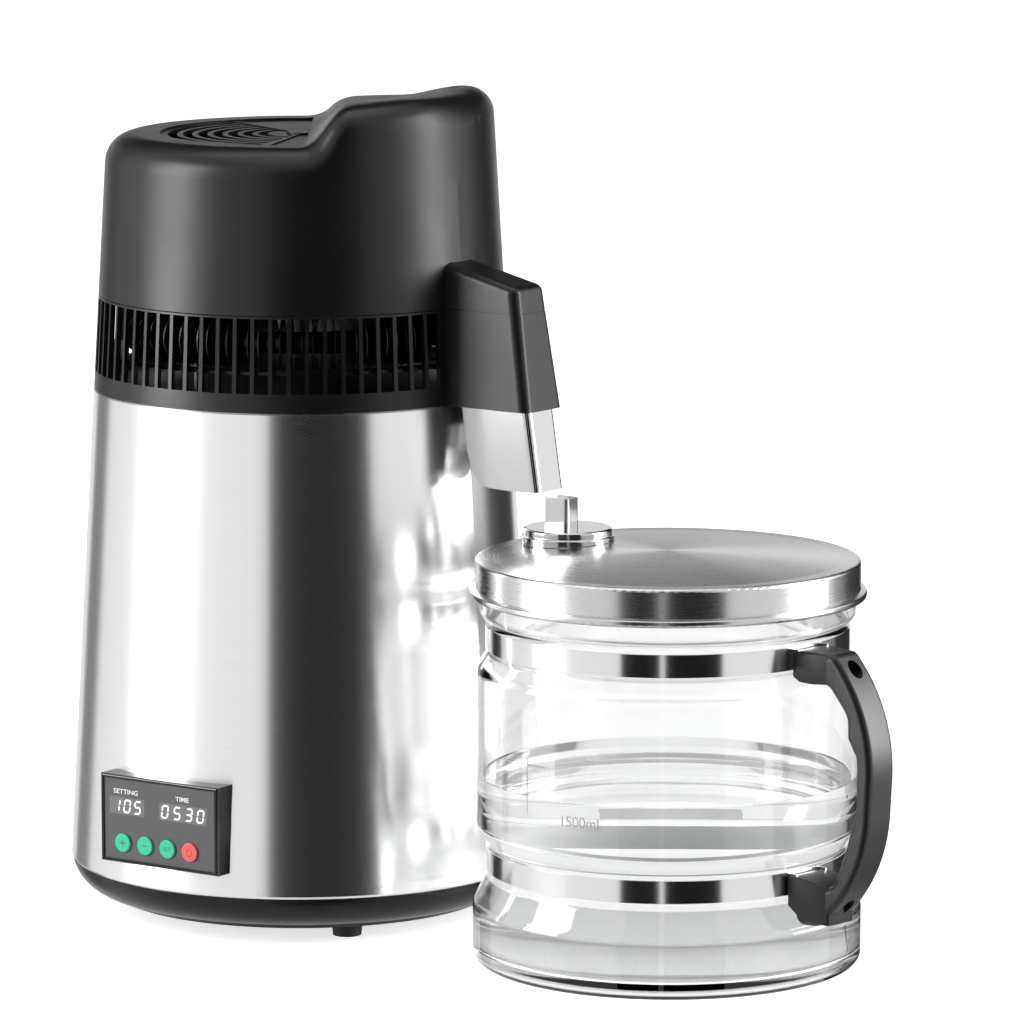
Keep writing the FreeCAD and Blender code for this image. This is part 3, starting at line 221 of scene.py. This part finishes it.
def clear_glass():
    """Clear soda glass with faint waves."""
    made, tree, shader = new_material("clear_glass", (0.95, 0.954, 0.954), 0.0)
    shader.inputs["Transmission Weight"].default_value = 1.0
    shader.inputs["IOR"].default_value = 1.5
    waves = noise(tree, object_place(tree, (1.0, 1.0, 2.0)), 9.0, 1.0, 0.4)
    bump(tree, shader, waves, 0.12, 0.0015)
    return made


def still_water():
    """Distilled water."""
    made, tree, shader = new_material("still_water", (0.965, 0.97, 0.972), 0.0)
    shader.inputs["Transmission Weight"].default_value = 1.0
    shader.inputs["IOR"].default_value = 1.333
    ripples = noise(tree, object_place(tree), 30.0, 2.0, 0.5)
    bump(tree, shader, ripples, 0.05, 0.002)
    return made


glass = clear_glass()
water = still_water()


def dress(material, *names):
    """Gives CAD nodes a material."""
    for name in names:
        data = nodes[name].data
        data.materials.clear()
        data.materials.append(material)
        for face in data.polygons:
            face.material_index = 0


dress(rubber, "rubber_feet")
dress(black_base, "base_pan", "base_ring")
dress(casing_steel, "outer_casing")
dress(inner_steel, "boiler_pot", "boiler_rack", "fan_shaft")
dress(dim_steel, "steam_dome", "fan_plate")
dress(fin_steel_painted_shade, "condenser_coil", "coil_fins", "coil_brackets")
dress(plate_aluminium, "heating_plate")
dress(heater_grey, "heating_element")
dress(black_inner, "thermal_cutout", "mains_inlet", "fan_lead_outlet", "fan_lead_inlet", "button_switches",
      "display_digits", "fan_blades")
dress(black_gloss, "panel_frame")
dress(panel_grey, "panel_face")
dress(window_tint, "setting_window", "time_window")
dress(button_green, "button_plus", "button_minus", "button_set")
dress(button_red, "button_power")
dress(board_green, "control_board")
dress(black_dome, "head_cover", "vent_ring", "fan_grille")
dress(silicone, "boiler_gasket", "lid_seal")
dress(motor_grey, "fan_motor")
dress(nozzle_steel, "nozzle", "filling_cap", "filling_tube")
dress(bright_steel, "handle_screws")
dress(sachet_cloth, "charcoal_sachet")
dress(band_steel, "lower_band", "upper_band")
dress(lid_steel, "jug_lid")
dress(black_handle, "jug_handle")
dress(glass, "jug_glass")
INWARD = -0.5  # a band's face whose normal points further inwards than this is on its back
# Faces on a band's back take the paler steel: painted light on the inner side.
for name in ("lower_band", "upper_band"):
    band = nodes[name]
    band.data.materials.append(band_back_painted_light)
    for face in band.data.polygons:
        out = band.matrix_world @ face.center - Vector((JUG_X, 0.0, 0.0))
        if (band.matrix_world.to_3x3() @ face.normal).dot(Vector((out.x, out.y, 0.0)).normalized()) < INWARD:
            face.material_index = 1


# ---------------------------------------------------------------------------------------------
# Mesh helpers
# ---------------------------------------------------------------------------------------------

LATHE_SIDES = 256
LATHE_SHARP = 40.0
ROUNDING_STEPS = 8
ALL_SMOOTH = 180.0


def new_piece(name, mesh, material, body):
    """Links a mesh as a piece that rides on a body."""
    piece = bpy.data.objects.new(name, mesh)
    scene.collection.objects.link(piece)
    mesh.materials.clear()
    mesh.materials.append(material)
    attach(piece, body)
    return piece


def finished(made, name, sharp_angle=None):
    """Turns a built mesh into mesh data. With an angle in degrees it is smooth up to that angle, else flat."""
    mesh = bpy.data.meshes.new(name)
    made.to_mesh(mesh)
    made.free()
    if sharp_angle is not None:
        for face in mesh.polygons:
            face.use_smooth = True
        if sharp_angle < ALL_SMOOTH:
            mesh.set_sharp_from_angle(angle=math.radians(sharp_angle))
    return mesh


def rounded(corners):
    """Points of an open outline in mm: a corner is (x, y) or (x, y, rounding)."""
    points = []
    for i, corner in enumerate(corners):
        here = Vector(corner[:2])
        radius = corner[2] if len(corner) > 2 else 0.0
        if not radius or i in (0, len(corners) - 1):
            points.append(here)
            continue
        back = (Vector(corners[i - 1][:2]) - here).normalized()
        ahead = (Vector(corners[i + 1][:2]) - here).normalized()
        half = back.angle(ahead) / 2
        reach = radius / math.tan(half)
        centre = here + (back + ahead).normalized() * (radius / math.sin(half))
        first = here + back * reach - centre
        last = here + ahead * reach - centre
        swing = first.angle_signed(last)
        for step in range(ROUNDING_STEPS + 1):
            turn = Matrix.Rotation(-swing * step / ROUNDING_STEPS, 2)
            points.append(centre + turn @ first)
    return points


def lathe(name, corners, centre):
    """A smooth mesh turned about an upright axis from an outline of radius and height in mm."""
    made = bmesh.new()
    rings = []
    for point in rounded(corners):
        if point.x < 1e-6:
            rings.append([made.verts.new((centre[0], centre[1], point.y * MM))])
            continue
        ring = []
        for number in range(LATHE_SIDES):
            angle = math.tau * number / LATHE_SIDES
            ring.append(made.verts.new((centre[0] + point.x * MM * math.cos(angle),
                                        centre[1] + point.x * MM * math.sin(angle), point.y * MM)))
        rings.append(ring)
    for low, high in zip(rings, rings[1:]):
        for number in range(LATHE_SIDES):
            after = (number + 1) % LATHE_SIDES
            if len(low) == 1 and len(high) == 1:
                continue
            if len(low) == 1:
                made.faces.new((low[0], high[after], high[number]))
            elif len(high) == 1:
                made.faces.new((low[number], low[after], high[0]))
            else:
                made.faces.new((low[number], low[after], high[after], high[number]))
    bmesh.ops.recalc_face_normals(made, faces=made.faces)
    return finished(made, name, LATHE_SHARP)


# ---------------------------------------------------------------------------------------------
# Raised side of the cover
# ---------------------------------------------------------------------------------------------

def ease(value, first, last):
    """A smooth rise from 0 to 1 between two values."""
    share = min(1.0, max(0.0, (value - first) / (last - first)))
    return share * share * (3.0 - 2.0 * share)


CREST_RISE = 9.0
CREST_LIMIT = 385.2
CREST_HEIGHTS = (346.0, 370.0)
CREST_SIDES = ((4.0, 24.0), (56.0, 84.0))
CREST_FRONT = (-45.0, 62.0)
CREST_SMOOTHING = 50
CREST_CORE = 0.315
CREST_REACH = 0.3
CREST_COLUMNS = 241
CREST_FIRST_TURN = -12.0
CREST_TURN_STEP = 0.45
CREST_LINES = 181
CREST_FIRST_RISE = 14.0
CREST_RISE_STEP = 0.42
SKIN_CLEARANCE = 0.06
WALL_SNAP = 0.6
SMOOTHED_LIFT = 0.02
KEPT_LIFT = 0.01
WALL_RADIUS = 97.3
WALL_TOP = 245.0
WALL_SLOPE = 0.0573


def crest_lift(across, towards, height):
    """How far the crest stands above the cover, in mm, at a place across and towards the viewer."""
    side = ease(across, *CREST_SIDES[0]) * (1.0 - ease(across, *CREST_SIDES[1]))
    front = ease(towards, *CREST_FRONT)
    lift = CREST_RISE * side * front * ease(height, *CREST_HEIGHTS)
    return min(lift, max(0.0, CREST_LIMIT - height))


def cover_crest():
    """A skin over the cover's raised side, which swells towards its near rim."""
    cover = nodes["head_cover"]
    back = cover.matrix_world.inverted()
    core = Vector((UNIT_X, 0.0, CREST_CORE))
    made = bmesh.new()
    rows = []
    for column in range(CREST_COLUMNS):
        turn = math.radians(CREST_FIRST_TURN + CREST_TURN_STEP * column)
        flat = CAMERA_SIDE * math.cos(turn) + CAMERA_RIGHT * math.sin(turn)
        row = []
        for line in range(CREST_LINES):
            rise = math.radians(CREST_FIRST_RISE + CREST_RISE_STEP * line)
            away = flat * math.cos(rise) + Vector((0, 0, math.sin(rise)))
            found, place, _, _ = cover.ray_cast(back @ (core + away * CREST_REACH), back.to_3x3() @ -away)
            place = cover.matrix_world @ place if found else core
            seen = (place - Vector((UNIT_X, 0, 0))) / MM
            across, towards = seen.dot(CAMERA_RIGHT), seen.dot(CAMERA_SIDE)
            lift = crest_lift(across, towards, seen.z)
            wall = WALL_RADIUS - (seen.z - WALL_TOP) * WALL_SLOPE
            reach = math.hypot(across, towards)
            place += flat * ((wall - reach) * max(0.0, 1.0 - abs(wall - reach) / WALL_SNAP) * MM)
            row.append((made.verts.new(place + Vector((0, 0, lift * MM)) + away * SKIN_CLEARANCE * MM), lift, found))
        rows.append(row)
    smoothed = [corner[0] for row in rows[1:-1] for corner in row[1:-1] if corner[1] > SMOOTHED_LIFT]
    for near, far in zip(rows, rows[1:]):
        for i in range(len(near) - 1):
            corners = (near[i], far[i], far[i + 1], near[i + 1])
            if all(corner[2] for corner in corners) and max(corner[1] for corner in corners) > KEPT_LIFT:
                made.faces.new([corner[0] for corner in corners])
    bmesh.ops.delete(made, geom=[vert for vert in made.verts if not vert.link_faces], context="VERTS")
    for step in range(CREST_SMOOTHING):
        bmesh.ops.smooth_vert(made, verts=[vert for vert in smoothed if vert.is_valid], factor=0.5,
                              use_axis_x=True, use_axis_y=True, use_axis_z=True)
    bmesh.ops.recalc_face_normals(made, faces=made.faces)
    return finished(made, "cover_crest", ALL_SMOOTH)


new_piece("cover_crest", cover_crest(), black_dome, "head")


# ---------------------------------------------------------------------------------------------
# Jug
# ---------------------------------------------------------------------------------------------

JUG_AXIS = (JUG_X, 0.0)
GLASS = [
    (0, 3.0), (76.0, 3.0), (79.0, 0), (88.2, 0, 6), (88.2, 27.3, 8), (81.5, 39.8, 5), (81.5, 55.3, 5), (86.4, 63.3, 8),
    (86.4, 134.8, 8), (81.5, 142.8, 5), (81.5, 156.6, 4), (84.8, 160.2, 4), (84.8, 181.0, 1.3), (82.0, 181.0, 1.3),
    (82.0, 159.6, 4), (78.7, 156.2, 5), (78.7, 143.2, 5), (83.6, 135.6, 6), (83.6, 62.5, 6), (78.7, 54.9, 5),
    (78.7, 40.3, 5), (85.4, 27.8, 6), (85.4, 7.0, 6), (0, 7.0)]
clear_jug = new_piece("clear_jug", lathe("clear_jug", GLASS, JUG_AXIS), glass, "jug")
clear_jug.visible_shadow = False
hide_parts("jug_glass")

HANDLE_TURN = math.radians(-6.0)
SADDLE_ROUNDING = 1.1
SADDLE_SHARP = 35.0
SADDLE_BEVELLED = 0.6


def saddle(name, stations):
    """Seats the handle on its band: each station is a distance from the axis, half a width, a bottom and a top."""
    made = bmesh.new()
    rows = [[made.verts.new((reach * MM, side * half * MM, height * MM))
             for side, height in ((-1, low), (1, low), (1, high), (-1, high))] for reach, half, low, high in stations]
    for near, far in zip(rows, rows[1:]):
        for i in range(4):
            made.faces.new((near[i], near[(i + 1) % 4], far[(i + 1) % 4], far[i]))
    made.faces.new(rows[0])
    made.faces.new(rows[-1])
    bmesh.ops.recalc_face_normals(made, faces=made.faces)
    sharp = [edge for edge in made.edges if edge.calc_face_angle() > SADDLE_BEVELLED]
    bmesh.ops.bevel(made, geom=sharp, offset=SADDLE_ROUNDING * MM, segments=4, affect="EDGES", profile=0.5)
    mesh = finished(made, name, SADDLE_SHARP)
    mesh.transform(Matrix.Translation((JUG_X, 0, 0)) @ Matrix.Rotation(HANDLE_TURN, 4, "Z"))
    new_piece(name, mesh, black_handle, "jug")


saddle("upper_saddle", [(82.5, 10.6, 142.0, 153.5), (86.0, 10.4, 139.8, 153.6), (94.0, 9.9, 139.5, 153.9),
                        (104.0, 8.6, 140.5, 153.4)])
saddle("lower_saddle", [(82.5, 13.0, 39.0, 52.3), (86.0, 12.6, 36.2, 52.3), (92.0, 11.4, 32.5, 51.6),
                        (103.0, 8.6, 31.5, 48.8)])

WATER_LEVEL = 86.6
WATER = [(0, 6.95), (85.45, 6.95, 6), (85.45, 27.8, 6), (78.75, 40.3, 5), (78.75, 54.9, 5), (83.65, 62.5, 6),
         (83.65, WATER_LEVEL + 0.5), (82.9, WATER_LEVEL, 0.3), (0, WATER_LEVEL)]
water_body = new_piece("distilled_water", lathe("distilled_water", WATER, JUG_AXIS), water, "jug")
water_body.visible_shadow = False


# ---------------------------------------------------------------------------------------------
# Printed marks and the lit display
# ---------------------------------------------------------------------------------------------

PANEL_TURN = math.radians(2.6)
FACE_FRONT = 112.8
BUTTON_FRONT = 113.9
PRINT_GAP = 0.01
CAPITAL_SHARE = 0.69
LABEL = (FACE_FRONT + PRINT_GAP, 0.05)
KEY_LABEL = (BUTTON_FRONT + PRINT_GAP, 0.04)
KEY_MARK = (BUTTON_FRONT + PRINT_GAP, BUTTON_FRONT + 0.05)
BUTTON_Z = 44.4
PLUS_X, MINUS_X, SET_X, POWER_X = -20.7, -7.9, 4.9, 17.7
JUG_WALL = 86.4
JUG_MARK = (0.02, 0.06)
PANEL = (Matrix.Translation((UNIT_X, 0, 0)) @ Matrix.Rotation(PANEL_TURN, 4, "Z") @ Matrix.Rotation(math.pi / 2, 4, "X")
         @ Matrix.Scale(MM, 4))


def lit(name, color, strength):
    """A glowing display segment."""
    made, tree, shader = new_material(name, color, 0.4)
    glow = noise(tree, object_place(tree), 900.0, 1.0, 0.5)
    tint(tree, shader, glow, tuple(part * 0.94 for part in color), color)
    shader.inputs["Emission Color"].default_value = (*color, 1.0)
    shader.inputs["Emission Strength"].default_value = strength
    return made


white_print = moulded("white_print", (0.86, 0.86, 0.86), 0.5, grain=0.1, light=1.03)
grey_print = moulded("grey_print", (0.30, 0.30, 0.30), 0.5, grain=0.1, light=1.03)
pale_print = moulded("pale_print", (0.42, 0.42, 0.43), 0.5, grain=0.1, light=1.03)
green_print = moulded("green_print", (0.01, 0.16, 0.085), 0.45, grain=0.1)
red_print = moulded("red_print", (0.42, 0.02, 0.022), 0.45, grain=0.1)
white_glow = lit("white_glow", (0.9, 0.9, 0.92), 0.35)


def plate_mesh(name, outlines, low, high):
    """Thin plates from closed outlines in mm, between two heights above the drawing."""
    made = bmesh.new()
    for points in outlines:
        bottom = [made.verts.new((x, y, low)) for x, y in points]
        top = [made.verts.new((x, y, high)) for x, y in points]
        made.faces.new(bottom)
        made.faces.new(top)
        for i in range(len(points)):
            j = (i + 1) % len(points)
            made.faces.new((bottom[i], bottom[j], top[j], top[i]))
    bmesh.ops.recalc_face_normals(made, faces=made.faces)
    return finished(made, name)


def letters(name, words, height, low, thickness, x, y, stretch=1.0, weight=0.0):
    """Printed words as a mesh, centred on x, with a capital's height in mm."""
    curve = bpy.data.curves.new(name, "FONT")
    curve.body = words
    curve.size = height / CAPITAL_SHARE
    curve.align_x = "CENTER"
    curve.offset = weight
    curve.extrude = thickness / 2
    holder = bpy.data.objects.new(name + "_curve", curve)
    mesh = bpy.data.meshes.new_from_object(holder)
    bpy.data.objects.remove(holder)
    bpy.data.curves.remove(curve)
    mesh.transform(Matrix.Translation((x, y, low + thickness / 2)) @ Matrix.Diagonal((stretch, 1.0, 1.0, 1.0)))
    return mesh


def on_panel(mesh, material, body):
    """Places a drawing on the control panel."""
    mesh.transform(PANEL)
    new_piece(mesh.name, mesh, material, body)


SEGMENTS = {"0": "abcdef", "1": "bc", "3": "abgcd", "5": "afgcd"}
SEGMENT_ENDS = {"a": ((0, 2), (1, 2)), "b": ((1, 2), (1, 1)), "c": ((1, 1), (1, 0)), "d": ((0, 0), (1, 0)),
                "e": ((0, 1), (0, 0)), "f": ((0, 2), (0, 1)), "g": ((0, 1), (1, 1))}
DIGIT_WIDTH = 3.25
DIGIT_HALF = 2.8
SEGMENT_HALF = 0.44
DIGIT_SLANT = 0.16
SEGMENT_GAP = 0.12
DIGIT_Y = 61.6
WORD_Y = 67.3
WORD_HEIGHT = 2.1
WORD_SHAPE = (1.18, 0.05)


def digit(figure, x, y):
    """The outlines of one seven-segment figure with its middle at x and y."""
    shapes = []
    for letter in SEGMENTS[figure]:
        first, last = [Vector(((u - 0.5) * DIGIT_WIDTH, (v - 1.0) * DIGIT_HALF)) for u, v in SEGMENT_ENDS[letter]]
        along = (last - first).normalized()
        side = Vector((-along.y, along.x)) * SEGMENT_HALF
        tip = along * SEGMENT_HALF
        first, last = first + along * SEGMENT_GAP, last - along * SEGMENT_GAP
        points = [first, first + tip + side, last - tip + side, last, last - tip - side, first + tip - side]
        shapes.append([(x + point.x + point.y * DIGIT_SLANT, y + point.y) for point in points])
    return shapes


def arc_band(radius, half, first, last, x, y, steps=28):
    """A curved band as one closed outline, between two angles in degrees."""
    points = []
    for edge, order in ((radius + half, range(steps + 1)), (radius - half, range(steps, -1, -1))):
        for step in order:
            angle = math.radians(first + (last - first) * step / steps)
            points.append((x + edge * math.cos(angle), y + edge * math.sin(angle)))
    return points


def block(x, y, width, height):
    """A rectangle as a closed outline round its middle."""
    return [(x - width / 2, y - height / 2), (x + width / 2, y - height / 2), (x + width / 2, y + height / 2),
            (x - width / 2, y + height / 2)]


figures = [("1", -24.6), ("0", -18.5), ("5", -12.5), ("0", 3.3), ("5", 10.2), ("3", 17.0), ("0", 23.6)]
shapes = [shape for figure, x in figures for shape in digit(figure, x, DIGIT_Y)]
on_panel(plate_mesh("display_figures", shapes, FACE_FRONT + PRINT_GAP, FACE_FRONT + 0.06), white_glow, "base")
on_panel(letters("setting_word", "SETTING", WORD_HEIGHT, *LABEL, -19.2, WORD_Y, *WORD_SHAPE), white_print, "base")
on_panel(letters("time_word", "TIME", WORD_HEIGHT, *LABEL, 13.2, WORD_Y, *WORD_SHAPE), white_print, "base")
plus_arms = [block(PLUS_X, BUTTON_Z, 3.4, 0.42), block(PLUS_X, BUTTON_Z + 0.955, 0.42, 1.49),
             block(PLUS_X, BUTTON_Z - 0.955, 0.42, 1.49)]
on_panel(plate_mesh("plus_mark", plus_arms, *KEY_MARK), green_print, "plus_key")
on_panel(plate_mesh("minus_mark", [block(MINUS_X, BUTTON_Z, 2.9, 0.45)], *KEY_MARK), green_print, "minus_key")
on_panel(letters("set_word", "SET", 2.0, *KEY_LABEL, SET_X, BUTTON_Z - 1.0), green_print, "set_key")
power_ring = [arc_band(1.55, 0.19, 122, 418, POWER_X, BUTTON_Z - 0.15), block(POWER_X, BUTTON_Z + 1.05, 0.38, 1.9)]
on_panel(plate_mesh("power_mark", power_ring, *KEY_MARK), red_print, "power_key")


def wrap_jug(mesh, material):
    """Bends a drawing, given in mm along the wall from its -Y side and up, round the jug's glass."""
    for vertex in mesh.vertices:
        angle = -math.pi / 2 + vertex.co.x / JUG_WALL
        radius = (JUG_WALL + vertex.co.z) * MM
        vertex.co = (JUG_X + radius * math.cos(angle), radius * math.sin(angle), vertex.co.y * MM)
    mesh.update()
    new_piece(mesh.name, mesh, material, "jug")


wrap_jug(letters("volume_words", "1500ml", 4.7, JUG_MARK[0], 0.04, 13.0, 76.4, 0.98, 0.03), pale_print)
wrap_jug(plate_mesh("volume_tick", [block(1.3, 76.2, 4.4, 0.35)], *JUG_MARK), white_print)
range_lines = [block(-15.8, 91.5, 0.5, 25.0), block(-10.2, 101.4, 10.6, 0.9)]
wrap_jug(plate_mesh("range_mark", range_lines, *JUG_MARK), grey_print)


# ---------------------------------------------------------------------------------------------
# Light
# ---------------------------------------------------------------------------------------------

WORLD_LIGHT = 0.2
WORLD_MIRRORED = 0.85
WORLD_SEEN = 1.0

world = bpy.data.worlds.new("studio")
scene.world = world
world.use_nodes = True
tree = world.node_tree
background = tree.nodes["Background"]
path = add(tree, "LightPath").outputs
clear = add(tree, "Math", {0: path["Is Camera Ray"], 1: path["Is Transmission Ray"]}, operation="MAXIMUM").outputs[0]
mirrored = add(tree, "Mix", {"Factor": path["Is Glossy Ray"], "A": WORLD_LIGHT, "B": WORLD_MIRRORED},
               data_type="FLOAT")
strength = add(tree, "Mix", {"Factor": clear, "A": mirrored.outputs["Result"], "B": WORLD_SEEN}, data_type="FLOAT")
background.inputs["Color"].default_value = (1.0, 1.0, 1.0, 1.0)
tree.links.new(strength.outputs["Result"], background.inputs["Strength"])


def softbox(name, place, target, size, power):
    """A square lamp looking at a point."""
    data = bpy.data.lights.new(name, "AREA")
    data.shape = "RECTANGLE"
    data.size, data.size_y = size
    data.energy = power
    lamp = bpy.data.objects.new(name, data)
    lamp.location = place
    lamp.rotation_euler = (Vector(target) - Vector(place)).to_track_quat("-Z", "Y").to_euler()
    scene.collection.objects.link(lamp)


LAMP_AIM = (UNIT_X, 0.0, 0.6)
SIDE_LAMP_SIZE = (1.0, 1.6)
SIDE_LAMP_POWER = 46.0
softbox("top_light", (-0.2, 0.1, 2.0), (0.0, 0.0, 0.2), (1.6, 1.6), 6.0)
softbox("left_light", (UNIT_X - 1.26, -1.55, 0.8), LAMP_AIM, SIDE_LAMP_SIZE, SIDE_LAMP_POWER)
softbox("right_light", (UNIT_X + 1.64, 1.14, 0.8), LAMP_AIM, SIDE_LAMP_SIZE, SIDE_LAMP_POWER)


def stage_plane(name, corners, material):
    """A flat stage piece from its corners."""
    mesh = bpy.data.meshes.new(name)
    mesh.from_pydata([tuple(corner) for corner in corners], [], [tuple(range(len(corners)))])
    piece = bpy.data.objects.new(name, mesh)
    mesh.materials.append(material)
    scene.collection.objects.link(piece)
    return piece


CARD_BEHIND_GLASS = 0.85


def dark_card(name, first, last, low, high, shade):
    """A card of a given shade seen only in reflections, between two points given across and towards the camera.

    It is brighter where it is seen through glass, so that it does not darken the jug.
    """
    made, tree, shader = new_material(name, (0.0, 0.0, 0.0), 1.0)
    shader.inputs["Specular IOR Level"].default_value = 0.0
    shader.inputs["Emission Color"].default_value = (1.0, 1.0, 1.0, 1.0)
    inside = add(tree, "Math", {0: add(tree, "LightPath").outputs["Transmission Depth"], 1: 0.5},
                 operation="GREATER_THAN").outputs[0]
    tree.links.new(spread(tree, inside, shade, CARD_BEHIND_GLASS), shader.inputs["Emission Strength"])
    origin = Vector((UNIT_X, 0.0, 0.0))
    ends = [origin + CAMERA_RIGHT * across + CAMERA_SIDE * towards for across, towards in (first, last)]
    card = stage_plane(name, [ends[0] + Vector((0, 0, low)), ends[1] + Vector((0, 0, low)),
                              ends[1] + Vector((0, 0, high)), ends[0] + Vector((0, 0, high))], made)
    card.visible_camera = False
    card.visible_diffuse = False
    card.visible_transmission = False
    card.visible_shadow = False
    card.visible_volume_scatter = False


CARD_BOTTOM = -0.7
CARD_TOP = 2.2
CASING_CARD_TOP = 0.9
TURN_HEIGHT = 0.19
dark_card("dark_card_left", (-0.230, 0.835), (0.105, 0.741), CARD_BOTTOM, CASING_CARD_TOP, 0.01)
dark_card("dark_card_right", (0.138, 0.732), (0.472, 0.638), CARD_BOTTOM, CASING_CARD_TOP, 0.01)
dark_card("dark_card_near", (0.042, 0.447), (0.095, 0.441), CARD_BOTTOM, CASING_CARD_TOP, 0.01)
dark_card("pale_card_turn", (0.975, 0.0), (0.93, -0.40), TURN_HEIGHT, CARD_TOP, 1.1)
dark_card("dark_card_turn", (0.964, -0.10), (0.93, -0.40), CARD_BOTTOM, TURN_HEIGHT, 0.2)
dark_card("dark_card_side", (0.93, -0.40), (0.52, -0.95), CARD_BOTTOM, CARD_TOP, 0.03)
dark_card("dark_card_far_side", (-1.0, -0.75), (-0.62, -1.0), CARD_BOTTOM, CARD_TOP, 0.2)
dark_card("dark_card_back", (-0.9, -1.0), (1.2, -1.0), 0.55, CARD_TOP, 0.02)


FLOOR_REACH = 6
FLOOR_GLOW = (0.7, 1.0)
FLOOR_GLOW_DISTANCES = (0.45, 1.3)
FLOOR_GLOW_THROUGH_GLASS = 0.36


def pale_floor():
    """A white floor that keeps the shadow near the object and meets the background evenly further out."""
    made, tree, shader = new_material("floor", (0.85, 0.85, 0.85), 0.9)
    place = object_place(tree)
    away = add(tree, "VectorMath", {0: place}, operation="LENGTH").outputs["Value"]
    grain = noise(tree, place, 60.0, 2.0, 0.5)
    tint(tree, shader, grain, (0.845, 0.845, 0.845), (0.855, 0.855, 0.855))
    path = add(tree, "LightPath").outputs
    seen = spread(tree, away, *FLOOR_GLOW, *FLOOR_GLOW_DISTANCES)
    seen = add(tree, "Math", {0: path["Is Camera Ray"], 1: seen}, operation="MULTIPLY").outputs[0]
    through = add(tree, "Math", {0: path["Is Transmission Ray"], 1: FLOOR_GLOW_THROUGH_GLASS},
                  operation="MULTIPLY").outputs[0]
    glow = add(tree, "Math", {0: seen, 1: through}, operation="MAXIMUM")
    shader.inputs["Emission Color"].default_value = (1.0, 1.0, 1.0, 1.0)
    tree.links.new(glow.outputs[0], shader.inputs["Emission Strength"])
    return made


floor_corners = [(x * FLOOR_REACH, y * FLOOR_REACH, 0) for x, y in ((-1, -1), (1, -1), (1, 1), (-1, 1))]
floor = stage_plane("floor", floor_corners, pale_floor())
floor.visible_glossy = False
